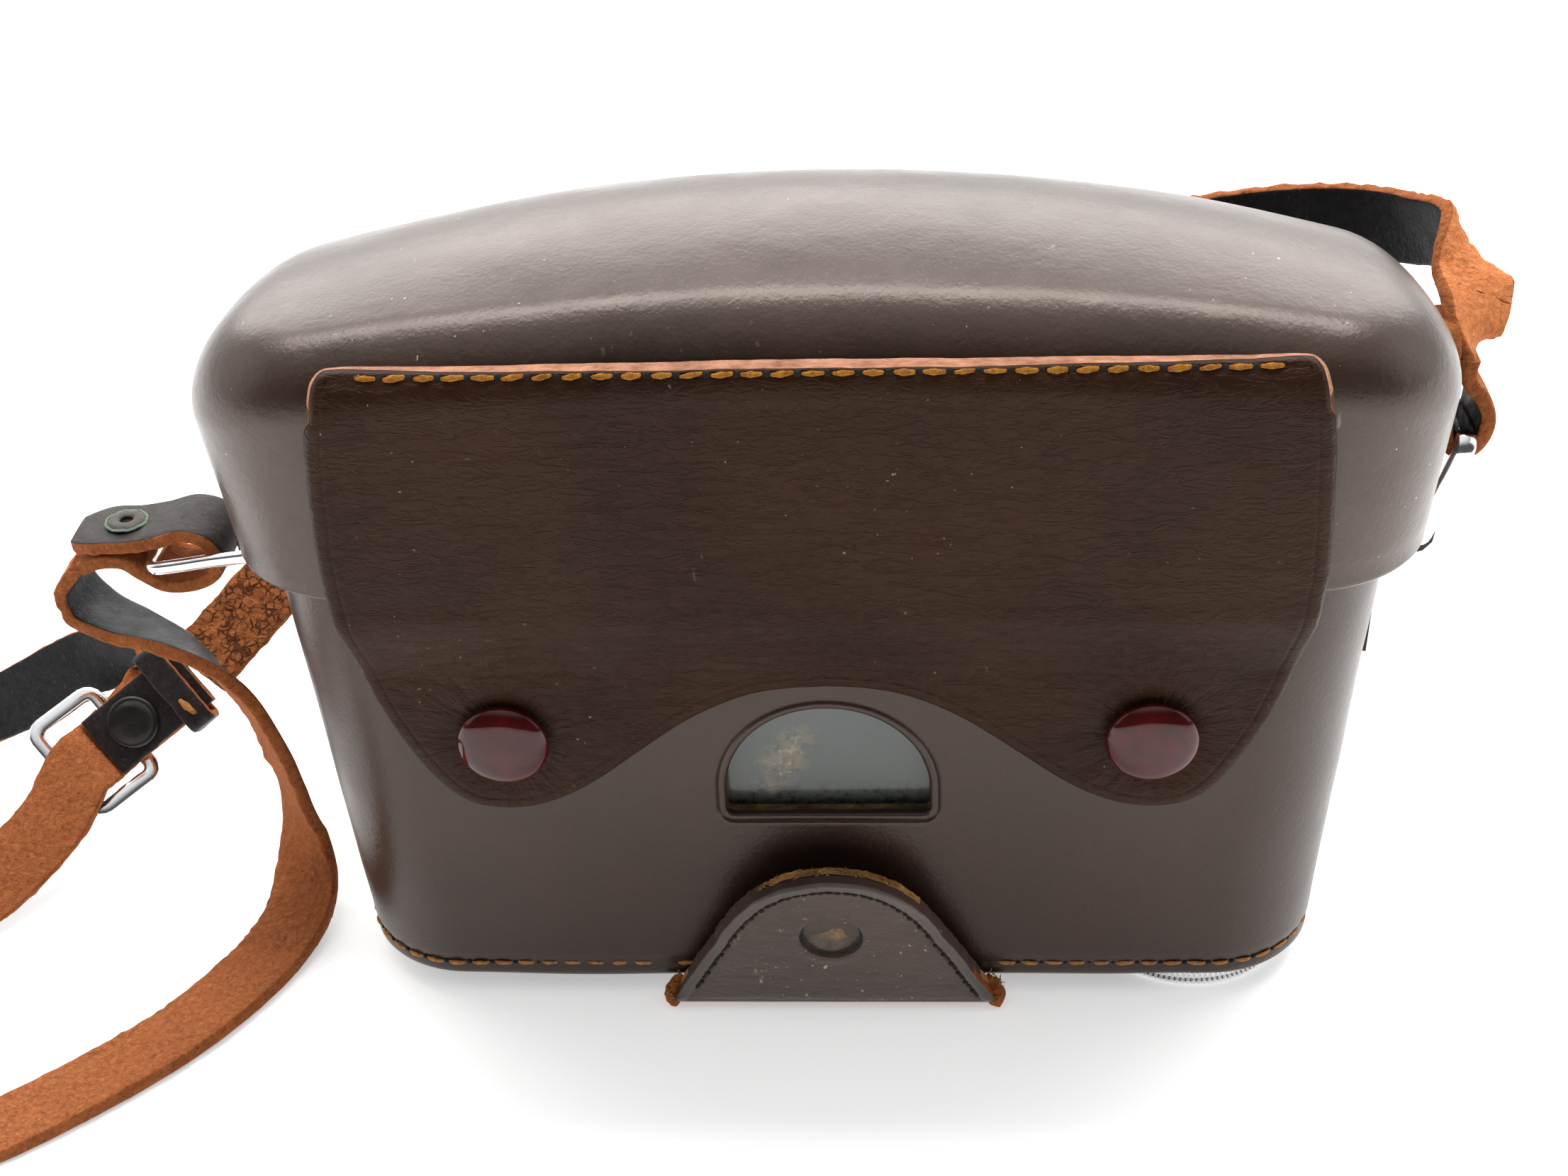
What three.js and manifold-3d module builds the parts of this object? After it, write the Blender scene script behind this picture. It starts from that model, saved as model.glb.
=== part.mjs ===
// Half frame 35 mm camera in its closed ever-ready leather case, with strap.
// Millimetres. Z up, the case front faces -Y, X to the right.
// Origin: centre of the flat underside of the bottom strip.
import * as THREE from 'three';
import { mergeVertices } from 'three/addons/utils/BufferGeometryUtils.js';
import Module from 'manifold-3d';

const wasm = await Module();
wasm.setup();

// ---- driving dimensions ----
// HW is a half width, R a radius, FRONT and BACK are y, BOTTOM and TOP are z.
const BASE_Z = 3.0;             // underside of the lower case
const SPLIT_Z = 73.5;           // lid rim and back hinge line
const COLLAR_TOP = 84.0;        // top of the collar inside the lid
const CASE_BACK = 26.0;
const SHELL_WALL = 2.4;
const SHELL_R = 16.0;
const shellHalfWidth = (z) => 70.3 + 0.059 * (z - BASE_Z);
const shellFront = (z) => -26.0 - 0.035 * (z - BASE_Z);

const LID_RIM_HW = 78.6;
const LID_TOP_HW = 79.9;
const LID_RIM_FRONT = -32.3;
const LID_TOP_FRONT = -35.0;
const LID_FRONT_R = 19.0;       // corner radii seen from above
const LID_BACK_R = 12.0;
const LID_WALL = 2.5;

const SNAP_X = 43.0;
const SNAP_Z = 50.3;
const SCREW_X = 52.5;           // retaining screw and tripod bush
const SCREW_Y = -9.0;
const LUG_X = 80.3;
const LUG_Z = 65.3;
const STRAP_W = 11.0;
const STRAP_T = 2.0;
const LENS_Z = 44.5;

// ---- finishes ----
const BROWN = 0x3c2620;
const CHROME = 0xc9cccf;
const ALUMINIUM = 0xb9bab8;
const FINISH = {
  shellLeather: { color: BROWN, roughness: 0.45 },
  lidLeather: { color: BROWN, roughness: 0.42 },
  tabLeather: { color: BROWN, roughness: 0.5 },
  plainLeather: { color: BROWN, roughness: 0.6 },
  flapLeather: { color: 0x46291f, roughness: 0.4 },
  suede: { color: 0xa45a2c, roughness: 0.9 },
  strapEnd: { color: 0x33231c, roughness: 0.7 },
  buckleLeather: { color: 0x1f1a1a, roughness: 0.5 },
  keeperLeather: { color: 0x1f1a1a, roughness: 0.6 },
  windowPane: { color: 0xaab0b2, roughness: 0.1 },
  snapCap: { color: 0x4a0d10, roughness: 0.15, metalness: 0.1 },
  tabRivet: { color: 0x4a4038, roughness: 0.5, metalness: 0.4 },
  buckleRivet: { color: 0x2a2526, roughness: 0.5, metalness: 0.5 },
  eyelet: { color: 0x8d8f86, roughness: 0.4, metalness: 0.8 },
  brightChrome: { color: CHROME, roughness: 0.2, metalness: 1 },
  knobChrome: { color: CHROME, roughness: 0.25, metalness: 1 },
  chrome: { color: CHROME, roughness: 0.3, metalness: 1 },
  dullChrome: { color: CHROME, roughness: 0.35, metalness: 1 },
  aluminium: { color: ALUMINIUM, roughness: 0.35, metalness: 1 },
  ringAluminium: { color: ALUMINIUM, roughness: 0.35, metalness: 0.8 },
  ringBlack: { color: 0x2b2b2c, roughness: 0.35, metalness: 0.8 },
  bush: { color: 0x9d9d98, roughness: 0.4, metalness: 1 },
  casting: { color: 0x2a2a2b, roughness: 0.6, metalness: 0.3 },
  cameraBack: { color: 0x262626, roughness: 0.7 },
  leatherette: { color: 0x161616, roughness: 0.85 },
  finderGlass: { color: 0x8fa2ad, roughness: 0.05 },
  lensGlass: { color: 0x7c8fa8, roughness: 0.03 },
  cassette: { color: 0xc7a02c, roughness: 0.4, metalness: 0.3 },
  spool: { color: 0x1f1f20, roughness: 0.6 },
  filmGate: { color: 0x3a3a3a, roughness: 0.4, metalness: 0.6 },
  pressurePlate: { color: 0x141414, roughness: 0.4, metalness: 0.6 },
  counterDial: { color: 0xeceae2, roughness: 0.4 },
  bezel: { color: 0x1b1b1c, roughness: 0.4, metalness: 0.3 },
  blades: { color: 0x101012, roughness: 0.4, metalness: 0.6 },
};

// ---- meshes and solids ----
const cameraCase = new THREE.Group();
cameraCase.name = 'half_frame_camera_case';
const SIDES = [['left', -1], ['right', 1]];
const vec = (x, y, z) => new THREE.Vector3(x, y, z);
const radians = (degrees) => degrees * Math.PI / 180;

// Positions only, with coincident points merged.
function weld(source) {
  const bare = source.clone();
  for (const attribute of Object.keys(bare.attributes)) {
    if (attribute !== 'position') bare.deleteAttribute(attribute);
  }
  return mergeVertices(bare, 1e-4);
}

function put(name, source, finish) {
  const welded = weld(source);
  welded.computeVertexNormals();
  const part = new THREE.Mesh(welded, new THREE.MeshStandardMaterial(finish));
  part.name = name;
  cameraCase.add(part);
}

function toSolid(source) {
  const welded = weld(source);
  return new wasm.Manifold(new wasm.Mesh({
    numProp: 3,
    vertProperties: new Float32Array(welded.attributes.position.array),
    triVerts: new Uint32Array(welded.index.array),
  }));
}

function fromSolid(solid) {
  const result = solid.getMesh();
  const geometry = new THREE.BufferGeometry();
  const positions = new Float32Array(result.vertProperties);
  geometry.setAttribute('position', new THREE.BufferAttribute(positions, 3));
  geometry.setIndex(new THREE.BufferAttribute(new Uint32Array(result.triVerts), 1));
  return geometry;
}

function cut(base, ...tools) {
  return fromSolid(tools.reduce((sum, tool) => sum.subtract(toSolid(tool)), toSolid(base)));
}

function join(base, ...parts) {
  return fromSolid(parts.reduce((sum, part) => sum.add(toSolid(part)), toSolid(base)));
}

function indexed(points, triangles) {
  const geometry = new THREE.BufferGeometry();
  const positions = new Float32Array(points.flat());
  geometry.setAttribute('position', new THREE.BufferAttribute(positions, 3));
  geometry.setIndex(triangles.flat());
  return geometry;
}

function signedVolume(geometry) {
  const { index, attributes: { position } } = geometry;
  const corner = (i) => vec(0, 0, 0).fromBufferAttribute(position, index.getX(i));
  let total = 0;
  for (let i = 0; i < index.count; i += 3) {
    total += corner(i).dot(corner(i + 1).cross(corner(i + 2))) / 6;
  }
  return total;
}

// Turns the triangles over when they face inwards.
function outward(geometry) {
  if (signedVolume(geometry) < 0) {
    const corners = geometry.index.array;
    for (let i = 0; i < corners.length; i += 3) {
      [corners[i], corners[i + 1]] = [corners[i + 1], corners[i]];
    }
  }
  return geometry;
}

// ---- basic shapes; the last argument of round ones is the segment count ----
const box = (x0, x1, y0, y1, z0, z1) => new THREE.BoxGeometry(x1 - x0, y1 - y0, z1 - z0)
  .translate((x0 + x1) / 2, (y0 + y1) / 2, (z0 + z1) / 2);
const rodZ = (x, y, radius, z0, z1, segments) =>
  new THREE.CylinderGeometry(radius, radius, z1 - z0, segments)
    .rotateX(Math.PI / 2).translate(x, y, (z0 + z1) / 2);
const rodY = (x, z, radius, y0, y1, segments) =>
  new THREE.CylinderGeometry(radius, radius, y1 - y0, segments)
    .translate(x, (y0 + y1) / 2, z);

function extrude(outline, depth, holes = []) {
  const shape = new THREE.Shape(outline.map(([u, v]) => new THREE.Vector2(u, v)));
  for (const [u, v, radius] of holes) {
    const hole = new THREE.Path();
    hole.absarc(u, v, radius, 0, Math.PI * 2, true);
    shape.holes.push(hole);
  }
  return new THREE.ExtrudeGeometry(shape, { depth, bevelEnabled: false, curveSegments: 12 });
}

// Prism of an XY outline along Z.
const prismZ = (outline, z0, z1) => extrude(outline, z1 - z0).translate(0, 0, z0);

// Prism of an XZ outline along Y, with optional round holes [x, z, radius].
function prismY(outline, y0, y1, holes) {
  const standUp = new THREE.Matrix4().set(
    1, 0, 0, 0,
    0, 0, -1, y1,
    0, 1, 0, 0,
    0, 0, 0, 1,
  );
  return extrude(outline, y1 - y0, holes).applyMatrix4(standUp);
}

const lathe = (profile, segments) =>
  new THREE.LatheGeometry(profile.map(([r, h]) => new THREE.Vector2(r, h)), segments);
// Turned parts: profile [radius, z] about Z at (x, y), or [radius, y] about Y at (x, z).
const turnZ = (profile, x, y, segments) =>
  outward(weld(lathe(profile, segments).rotateX(Math.PI / 2).translate(x, y, 0)));
const turnY = (profile, x, z, segments) =>
  outward(weld(lathe(profile, segments).translate(x, 0, z)));

function counterClockwise(outline) {
  const points = outline.map(([u, v]) => new THREE.Vector2(u, v));
  return THREE.ShapeUtils.isClockWise(points) ? outline.reverse() : outline;
}

// Circle outline with every second point set in by depth.
function knurled(centreU, centreV, radius, count, depth) {
  return Array.from({ length: count }, (_, i) => {
    const angle = 2 * Math.PI * i / count;
    const r = radius - (i % 2 ? depth : 0);
    return [centreU + r * Math.cos(angle), centreV + r * Math.sin(angle)];
  });
}

// A plan is a rounded rectangle seen from above, symmetric about x = 0.
const planOf = (halfWidth, front, back, frontR, backR = frontR) =>
  ({ halfWidth, front, back, frontR, backR });
const insetPlan = (plan, inset) => planOf(plan.halfWidth - inset, plan.front + inset,
  plan.back - inset, plan.frontR - inset, plan.backR - inset);

// Points [x, y, normalX, normalY] round a plan, counter-clockwise from the front right corner.
function ring({ halfWidth, front, back, frontR, backR }, longSteps = 6, sideSteps = 2) {
  const cornerSteps = 4;
  const points = [];
  const corner = (centreX, centreY, radius, startDegrees) => {
    for (let i = 0; i <= cornerSteps; i++) {
      const angle = radians(startDegrees + 90 * i / cornerSteps);
      const [nx, ny] = [Math.cos(angle), Math.sin(angle)];
      points.push([centreX + radius * nx, centreY + radius * ny, nx, ny]);
    }
  };
  const edge = (x0, y0, x1, y1, nx, ny, steps) => {
    for (let i = 1; i < steps; i++) {
      points.push([x0 + (x1 - x0) * i / steps, y0 + (y1 - y0) * i / steps, nx, ny]);
    }
  };
  const frontX = halfWidth - frontR;
  const frontY = front + frontR;
  const backX = halfWidth - backR;
  const backY = back - backR;
  corner(frontX, frontY, frontR, -90);
  edge(halfWidth, frontY, halfWidth, backY, 1, 0, sideSteps);
  corner(backX, backY, backR, 0);
  edge(backX, back, -backX, back, 0, 1, longSteps);
  corner(-backX, backY, backR, 90);
  edge(-halfWidth, backY, -halfWidth, frontY, -1, 0, sideSteps);
  corner(-frontX, frontY, frontR, 180);
  edge(-frontX, front, frontX, front, 0, -1, longSteps);
  return points;
}

// Skin over rings of equal point count; each end is closed by a fan round its centre.
function loft(rings, startCentre, endCentre) {
  const count = rings[0].length;
  const points = rings.flat().map(([x, y, z]) => [x, y, z]);
  const mean = (loop) => [0, 1, 2].map((k) => loop.reduce((sum, p) => sum + p[k], 0) / count);
  const start = points.length;
  const end = start + 1;
  points.push(startCentre || mean(rings[0]), endCentre || mean(rings[rings.length - 1]));
  const lastRing = (rings.length - 1) * count;
  const triangles = [];
  for (let i = 0; i < count; i++) {
    const j = (i + 1) % count;
    triangles.push([start, j, i], [end, lastRing + i, lastRing + j]);
    for (let low = 0; low < lastRing; low += count) {
      const high = low + count;
      triangles.push([low + i, low + j, high + j], [low + i, high + j, high + i]);
    }
  }
  return indexed(points, triangles);
}

// Linear interpolation in a table of [key, value], held constant beyond its ends.
function lookup(table, key) {
  if (key <= table[0][0]) return table[0][1];
  for (let i = 1; i < table.length; i++) {
    const [key0, value0] = table[i - 1];
    const [key1, value1] = table[i];
    if (key <= key1) return value0 + (key - key0) / (key1 - key0) * (value1 - value0);
  }
  return table[table.length - 1][1];
}

// ==== lower case ====
const shellPlan = (z) =>
  planOf(shellHalfWidth(z), shellFront(z), CASE_BACK, SHELL_R);

function shellBody() {
  const COLLAR_HW = 74.1;
  const COLLAR_FRONT = -27.9;
  const COLLAR_WALL = 1.9;
  const SIDE_BOTTOM = 5.4;
  const SIDE_TOP = 73.0;
  const innerCollar = planOf(COLLAR_HW - COLLAR_WALL, COLLAR_FRONT + COLLAR_WALL,
    CASE_BACK - SHELL_WALL, SHELL_R - COLLAR_WALL);
  const level = (plan, z) => ring(plan).map(([x, y]) => [x, y, z]);
  // The collar stands inside the lid but drops to the hinge line along the back.
  const collarEdge = (plan) =>
    ring(plan).map(([x, y]) => [x, y, y > 18.5 ? SPLIT_Z - 0.3 : COLLAR_TOP]);
  const floorZ = BASE_Z + SHELL_WALL;
  return loft([
    level(insetPlan(shellPlan(BASE_Z), 2.2), BASE_Z),
    level(insetPlan(shellPlan(BASE_Z), 0.5), BASE_Z + 0.9),
    level(shellPlan(SIDE_BOTTOM), SIDE_BOTTOM),
    level(shellPlan(SIDE_TOP), SIDE_TOP),
    collarEdge(planOf(COLLAR_HW, COLLAR_FRONT, CASE_BACK, SHELL_R)),
    collarEdge(innerCollar),
    level(insetPlan(shellPlan(SIDE_TOP), SHELL_WALL), 72.6),
    level(insetPlan(shellPlan(SIDE_BOTTOM), SHELL_WALL), floorZ),
  ], [0, 0, BASE_Z], [0, 0, floorZ]);
}

// Front window: flat sill, half-round top.
function windowOutline() {
  const WINDOW_HW = 14.0;
  const WINDOW_BOTTOM = 34.7;
  const WINDOW_H = 18.4;
  const centreZ = WINDOW_BOTTOM + WINDOW_H - WINDOW_HW;
  const points = [[-WINDOW_HW, WINDOW_BOTTOM], [WINDOW_HW, WINDOW_BOTTOM]];
  for (let i = 0; i <= 16; i++) {
    const angle = Math.PI * i / 16;
    points.push([WINDOW_HW * Math.cos(angle), centreZ + WINDOW_HW * Math.sin(angle)]);
  }
  return points;
}

put('case_shell', cut(shellBody(), prismY(windowOutline(), -35, -20),
  rodZ(SCREW_X, SCREW_Y, 3.6, 0, 8, 20)), FINISH.shellLeather);
// clear pane behind the window
put('window_pane', prismY([[-17.5, 32.4], [17.5, 32.4], [17.5, 56], [-17.5, 56]],
  -24.15, -23.3), FINISH.windowPane);
put('bottom_strip', prismZ([[-22, -27.2], [22, -27.2], [22, 24.5], [-22, 24.5]], 0, 2.7),
  FINISH.plainLeather);

// ---- front tab, modelled upright and then leaned forward ----
const TAB_BACK = -27.7;
const TAB_FRONT = TAB_BACK - 1.7;
const TAB_LEAN = radians(10);
const TAB_PIVOT_Z = 1.2;
const TAB_CROWN_Z = 28.8;
const TAB_RIVET_Z = 17.4;
const TAB_HOLE = [0, TAB_RIVET_Z, 2.3];
// Right half of the outline from the base up: [x, z].
const TAB_PROFILE = [
  [24, 0.9], [22.4, 4.1], [20.5, 7.8], [18.4, 12.0], [16.3, 16.0], [14.6, 19.3],
  [12.5, 22.4], [10.1, 25.0], [7.5, 26.9], [4.7, 28.1], [2.2, 28.6],
];

function tabOutline(inset, bottomZ) {
  const [baseX, baseZ] = TAB_PROFILE[0];
  const half = [
    [baseX - (bottomZ - baseZ) * 0.5 - inset, bottomZ],
    ...TAB_PROFILE.filter(([, z]) => z > bottomZ + 0.5)
      .map(([x, z]) => [x - inset, z - inset * 0.5]),
    [0, TAB_CROWN_Z - inset * 0.5],
  ];
  return [...half, ...half.slice(0, -1).reverse().map(([x, z]) => [-x, z])];
}
const lean = (geometry) => geometry.translate(0, -TAB_BACK, -TAB_PIVOT_Z)
  .rotateX(TAB_LEAN).translate(0, TAB_BACK, TAB_PIVOT_Z);

put('front_tab', lean(prismY(tabOutline(0, 0.9), TAB_FRONT, TAB_BACK, [TAB_HOLE])),
  FINISH.tabLeather);
put('front_tab_lining',
  lean(prismY(tabOutline(0.3, 3.2), TAB_BACK + 0.1, TAB_BACK + 1.3, [TAB_HOLE])),
  FINISH.suede);
put('front_tab_rivet', lean(turnY([
  [0, TAB_BACK - 2.6], [3.2, TAB_BACK - 2.5], [4.4, TAB_BACK - 1.95], [4.4, TAB_BACK - 1.8],
  [2.1, TAB_BACK - 1.8], [2.1, TAB_BACK + 1.4], [0, TAB_BACK + 1.4],
], 0, TAB_RIVET_Z, 16)), FINISH.tabRivet);

put('retaining_screw', join(prismZ(knurled(SCREW_X, SCREW_Y, 15.2, 40, 0.5), 0.05, 2.7),
  rodZ(SCREW_X, SCREW_Y, 3.1, 2.6, 9.3, 18)), FINISH.chrome);

// leather strap lugs on the side walls, each with a round eye
function strapLug(side) {
  const outline = [[74.45, 46], [76.1, 46], [76.3, 58.5], [78.4, 62.6]];
  for (let i = 0; i <= 8; i++) {
    const angle = radians(-125 + 270 * i / 8);
    outline.push([LUG_X + 3.1 * Math.cos(angle), LUG_Z + 3.1 * Math.sin(angle)]);
  }
  outline.push([76.2, 66.6], [74.9, 65.2]);
  const sided = counterClockwise(outline.map(([x, z]) => [side * x, z]));
  return prismY(sided, -4.6, 4.6, [[side * LUG_X, LUG_Z, 1.3]]);
}
for (const [name, side] of SIDES) {
  put(`strap_lug_${name}`, strapLug(side), FINISH.plainLeather);
}

// snap studs on the shell front
const SNAP_SHELL_Y = shellFront(SNAP_Z);
for (const [name, side] of SIDES) {
  const foot = SNAP_SHELL_Y - 0.35;
  put(`snap_stud_${name}`, turnY([
    [0, foot], [3.8, foot], [3.8, foot - 0.6], [1.5, foot - 0.6],
    [1.8, foot - 2.2], [1.3, foot - 2.7], [0, foot - 2.7],
  ], side * SNAP_X, SNAP_Z, 14), FINISH.chrome);
}

// ==== lid ====
const FRONT_FILLET = 7.5;
const END_FILLET = 11.5;
const BACK_FILLET = 10.0;
const CROWN_Z = 114.5;          // top height at x = 0 on the line CROWN_FRONT
const CROWN_FRONT = -28;
const CROWN_SPAN = 42;          // from CROWN_FRONT back to where CROWN_FALL holds
const CROWN_FALL = 0.41;        // downward slope there
const CROWN_CENTRE_Y = -5;      // the top rings shrink towards this line

// Height of the top: a parabola front to back that bends less towards the ends.
function crownHeight(x, y) {
  const drop = 2.1 + x * x / 1385;
  const bend = (17.2 - drop) / CROWN_SPAN ** 2;
  const slope = 2 * CROWN_SPAN * bend - CROWN_FALL;
  const run = y - CROWN_FRONT;
  return CROWN_Z - x * x / 800 + slope * run - bend * run * run;
}

// One skin of the lid, from the rim over the fillet to the crown centre.
function lidSkin(inset, filletDegrees, crownShrinks) {
  const lidRing = (halfWidth, front) =>
    ring(insetPlan(planOf(halfWidth, front, CASE_BACK, LID_FRONT_R, LID_BACK_R), inset), 8);
  const height = (x, y) => crownHeight(x, y) - inset;
  const filletAt = (nx, ny) => {
    const lengthwise = (ny < 0 ? FRONT_FILLET : BACK_FILLET) - inset * 0.6;
    return nx * nx * (END_FILLET - inset * 0.6) + ny * ny * lengthwise;
  };
  const rim = lidRing(LID_RIM_HW, LID_RIM_FRONT).map(([x, y]) => [x, y, SPLIT_Z]);
  const top = lidRing(LID_TOP_HW, LID_TOP_FRONT);
  const fillet = filletDegrees.map((degrees) => top.map(([edgeX, edgeY, nx, ny]) => {
    const radius = filletAt(nx, ny);
    const inward = radius * (1 - Math.cos(radians(degrees)));
    const x = edgeX - nx * inward;
    const y = edgeY - ny * inward;
    return [x, y, height(x, y) - radius * (1 - Math.sin(radians(degrees)))];
  }));
  const crown = crownShrinks.map((shrink) => fillet[fillet.length - 1].map((point) => {
    const x = point[0] * (1 - shrink);
    const y = CROWN_CENTRE_Y + (point[1] - CROWN_CENTRE_Y) * (1 - shrink);
    return [x, y, height(x, y)];
  }));
  return {
    rings: [rim, ...fillet, ...crown],
    centre: [0, CROWN_CENTRE_Y, height(0, CROWN_CENTRE_Y)],
  };
}

const lidOuter = lidSkin(0, [0, 22, 45, 67, 90], [0.3, 0.65]);
const lidInner = lidSkin(LID_WALL, [0, 45, 90], [0.5]);
put('case_lid', loft([...lidInner.rings.reverse(), ...lidOuter.rings],
  lidInner.centre, lidOuter.centre), FINISH.lidLeather);
// leather strip across the back joint
put('back_hinge_leather', prismY([[-56, 57], [56, 57], [56, 90], [-56, 90]],
  CASE_BACK + 0.3, CASE_BACK + 1.7), FINISH.plainLeather);

// ==== flap: follows the lid front, steps in to the shell below the rim ====
const FLAP_T = 2.2;
const FLAP_HINGE_Z = 103.4;
const FLAP_TOP = 108.3;
const FLAP_STEP_TOP = SPLIT_Z - 1;
const FLAP_STEP_BOTTOM = 60.5;
const LID_FRONT_TOP_Z = 105;    // the lid front stops leaning here
// [z, half width]
const FLAP_WIDTHS = [
  [38.2, 44.7], [38.9, 48.2], [41.5, 51.6], [46, 54.6], [53, 58.0],
  [63, 61.0], [75, 62.6], [90, 62.0], [103, 60.4], [107, 59.6],
];
// Lower edge between the lobes: [|x| as a fraction of the lobe half width, z]
const FLAP_ARCH = [
  [0, 58.7], [0.12, 58.3], [0.25, 56.9], [0.4, 53.4], [0.55, 48.3],
  [0.7, 42.9], [0.8, 40.2], [0.9, 38.6], [1, 38.2],
];
const LOBE_HW = FLAP_WIDTHS[0][1];
// Columns of the flap grid as fractions of the half width.
const FLAP_COLUMNS = [
  -1, -0.93, -0.84, -0.72, -0.6, -0.48, -0.36, -0.24, -0.12, 0,
  0.12, 0.24, 0.36, 0.48, 0.6, 0.72, 0.84, 0.93, 1,
];
const flapHalfWidth = (z) => lookup(FLAP_WIDTHS, z);
const archZ = (x) => lookup(FLAP_ARCH, Math.min(1, Math.abs(x) / LOBE_HW));

function lidFront(z) {
  const rise = (z - SPLIT_Z) / (LID_FRONT_TOP_Z - SPLIT_Z);
  return LID_RIM_FRONT + (LID_TOP_FRONT - LID_RIM_FRONT) * Math.min(1, Math.max(0, rise));
}

// y of the flap's inner face
function flapInner(z) {
  const overLid = (height) => lidFront(height) - 0.6;
  const overShell = (height) => shellFront(height) - 1.15;
  if (z >= FLAP_STEP_TOP) return overLid(z);
  if (z <= FLAP_STEP_BOTTOM) return overShell(z);
  const t = (z - FLAP_STEP_BOTTOM) / (FLAP_STEP_TOP - FLAP_STEP_BOTTOM);
  const blend = t * t * (3 - 2 * t);
  return overShell(FLAP_STEP_BOTTOM) * (1 - blend) + overLid(SPLIT_Z) * blend;
}

// Sheet with rows at the given heights, then archRows more that run down to the arch.
function flapSheet(heights, archRows) {
  const columns = FLAP_COLUMNS.map((fraction) => {
    const column = heights.map((z) => [fraction * flapHalfWidth(z), z]);
    const startZ = heights[heights.length - 1];
    const endX = fraction * LOBE_HW;
    for (let i = 1; i <= archRows; i++) {
      const k = i / archRows;
      const z = startZ + (archZ(endX) - startZ) * k;
      const x = Math.abs(fraction) === 1
        ? fraction * flapHalfWidth(z)
        : fraction * flapHalfWidth(startZ) * (1 - k) + endX * k;
      column.push([x, z]);
    }
    return column;
  });
  const rowCount = columns[0].length;
  const columnCount = columns.length;
  const points = [0, FLAP_T].flatMap((offset) =>
    columns.flat().map(([x, z]) => [x, flapInner(z) - offset, z]));
  const inner = (j, i) => j * rowCount + i;
  const outer = (j, i) => rowCount * columnCount + inner(j, i);
  const triangles = [];
  for (let j = 0; j + 1 < columnCount; j++) {
    for (let i = 0; i + 1 < rowCount; i++) {
      triangles.push(
        [outer(j, i), outer(j, i + 1), outer(j + 1, i + 1)],
        [outer(j, i), outer(j + 1, i + 1), outer(j + 1, i)],
        [inner(j, i), inner(j + 1, i + 1), inner(j, i + 1)],
        [inner(j, i), inner(j + 1, i), inner(j + 1, i + 1)],
      );
    }
  }
  const border = [];
  for (let j = 0; j < columnCount; j++) border.push([j, 0]);
  for (let i = 1; i < rowCount; i++) border.push([columnCount - 1, i]);
  for (let j = columnCount - 2; j >= 0; j--) border.push([j, rowCount - 1]);
  for (let i = rowCount - 2; i > 0; i--) border.push([0, i]);
  border.forEach((here, k) => {
    const next = border[(k + 1) % border.length];
    triangles.push([outer(...here), outer(...next), inner(...next)],
      [outer(...here), inner(...next), inner(...here)]);
  });
  return outward(indexed(points, triangles));
}

put('front_flap', cut(
  flapSheet([FLAP_HINGE_Z - 0.2, 90, 75, 72.5, 68.5, 64.5, FLAP_STEP_BOTTOM], 4),
  rodY(-SNAP_X, SNAP_Z, 3.2, -40, -20, 14),
  rodY(SNAP_X, SNAP_Z, 3.2, -40, -20, 14),
), FINISH.flapLeather);
put('flap_top_band', flapSheet([FLAP_TOP - 1.2, FLAP_HINGE_Z + 0.2], 0), FINISH.flapLeather);

// snap caps: a domed head with a sleeve that reaches over the stud
for (const [name, side] of SIDES) {
  const CAP_R = 6.2;
  const head = flapInner(SNAP_Z) - FLAP_T - 0.4;
  const sleeveEnd = SNAP_SHELL_Y - 1.15;
  put(`snap_cap_${name}`, turnY([
    [0, head - 2.2], [2.6, head - 2.0], [4.8, head - 1.35], [CAP_R, head - 0.3],
    [CAP_R - 0.3, head], [2.95, head], [2.95, sleeveEnd], [2.15, sleeveEnd],
    [2.15, head - 0.1], [0, head - 0.1],
  ], side * SNAP_X, SNAP_Z, 18), FINISH.snapCap);
}

// ==== strap and its hardware ====
// Rounded rectangle in the plane of the unit vectors u and v.
function frameLoop(centre, u, v, halfU, halfV, cornerR) {
  const points = [];
  for (const [signU, signV, start] of [[1, -1, -90], [1, 1, 0], [-1, 1, 90], [-1, -1, 180]]) {
    for (let i = 0; i <= 3; i++) {
      const angle = radians(start + 90 * i / 3);
      points.push(centre.clone()
        .addScaledVector(u, signU * (halfU - cornerR) + cornerR * Math.cos(angle))
        .addScaledVector(v, signV * (halfV - cornerR) + cornerR * Math.sin(angle)));
    }
  }
  return points;
}

// Six-sided wire along a closed flat path.
function wireLoop(path, radius) {
  const sides = 6;
  const count = path.length;
  const centre = path.reduce((sum, p) => sum.add(p), vec(0, 0, 0)).multiplyScalar(1 / count);
  const up = vec(0, 0, 0);
  path.forEach((point, i) => {
    const next = path[(i + 1) % count].clone().sub(centre);
    up.add(point.clone().sub(centre).cross(next));
  });
  up.normalize();
  const points = [];
  const triangles = [];
  for (let i = 0; i < count; i++) {
    const next = (i + 1) % count;
    const along = path[next].clone().sub(path[(i - 1 + count) % count]).normalize();
    const across = along.cross(up).normalize();
    for (let k = 0; k < sides; k++) {
      const angle = 2 * Math.PI * (k + 0.5) / sides;
      points.push(path[i].clone().addScaledVector(across, radius * Math.cos(angle))
        .addScaledVector(up, radius * Math.sin(angle)).toArray());
      const a = i * sides + k;
      const b = i * sides + (k + 1) % sides;
      const c = next * sides + (k + 1) % sides;
      const d = next * sides + k;
      triangles.push([a, d, c], [a, c, b]);
    }
  }
  return outward(indexed(points, triangles));
}

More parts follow.
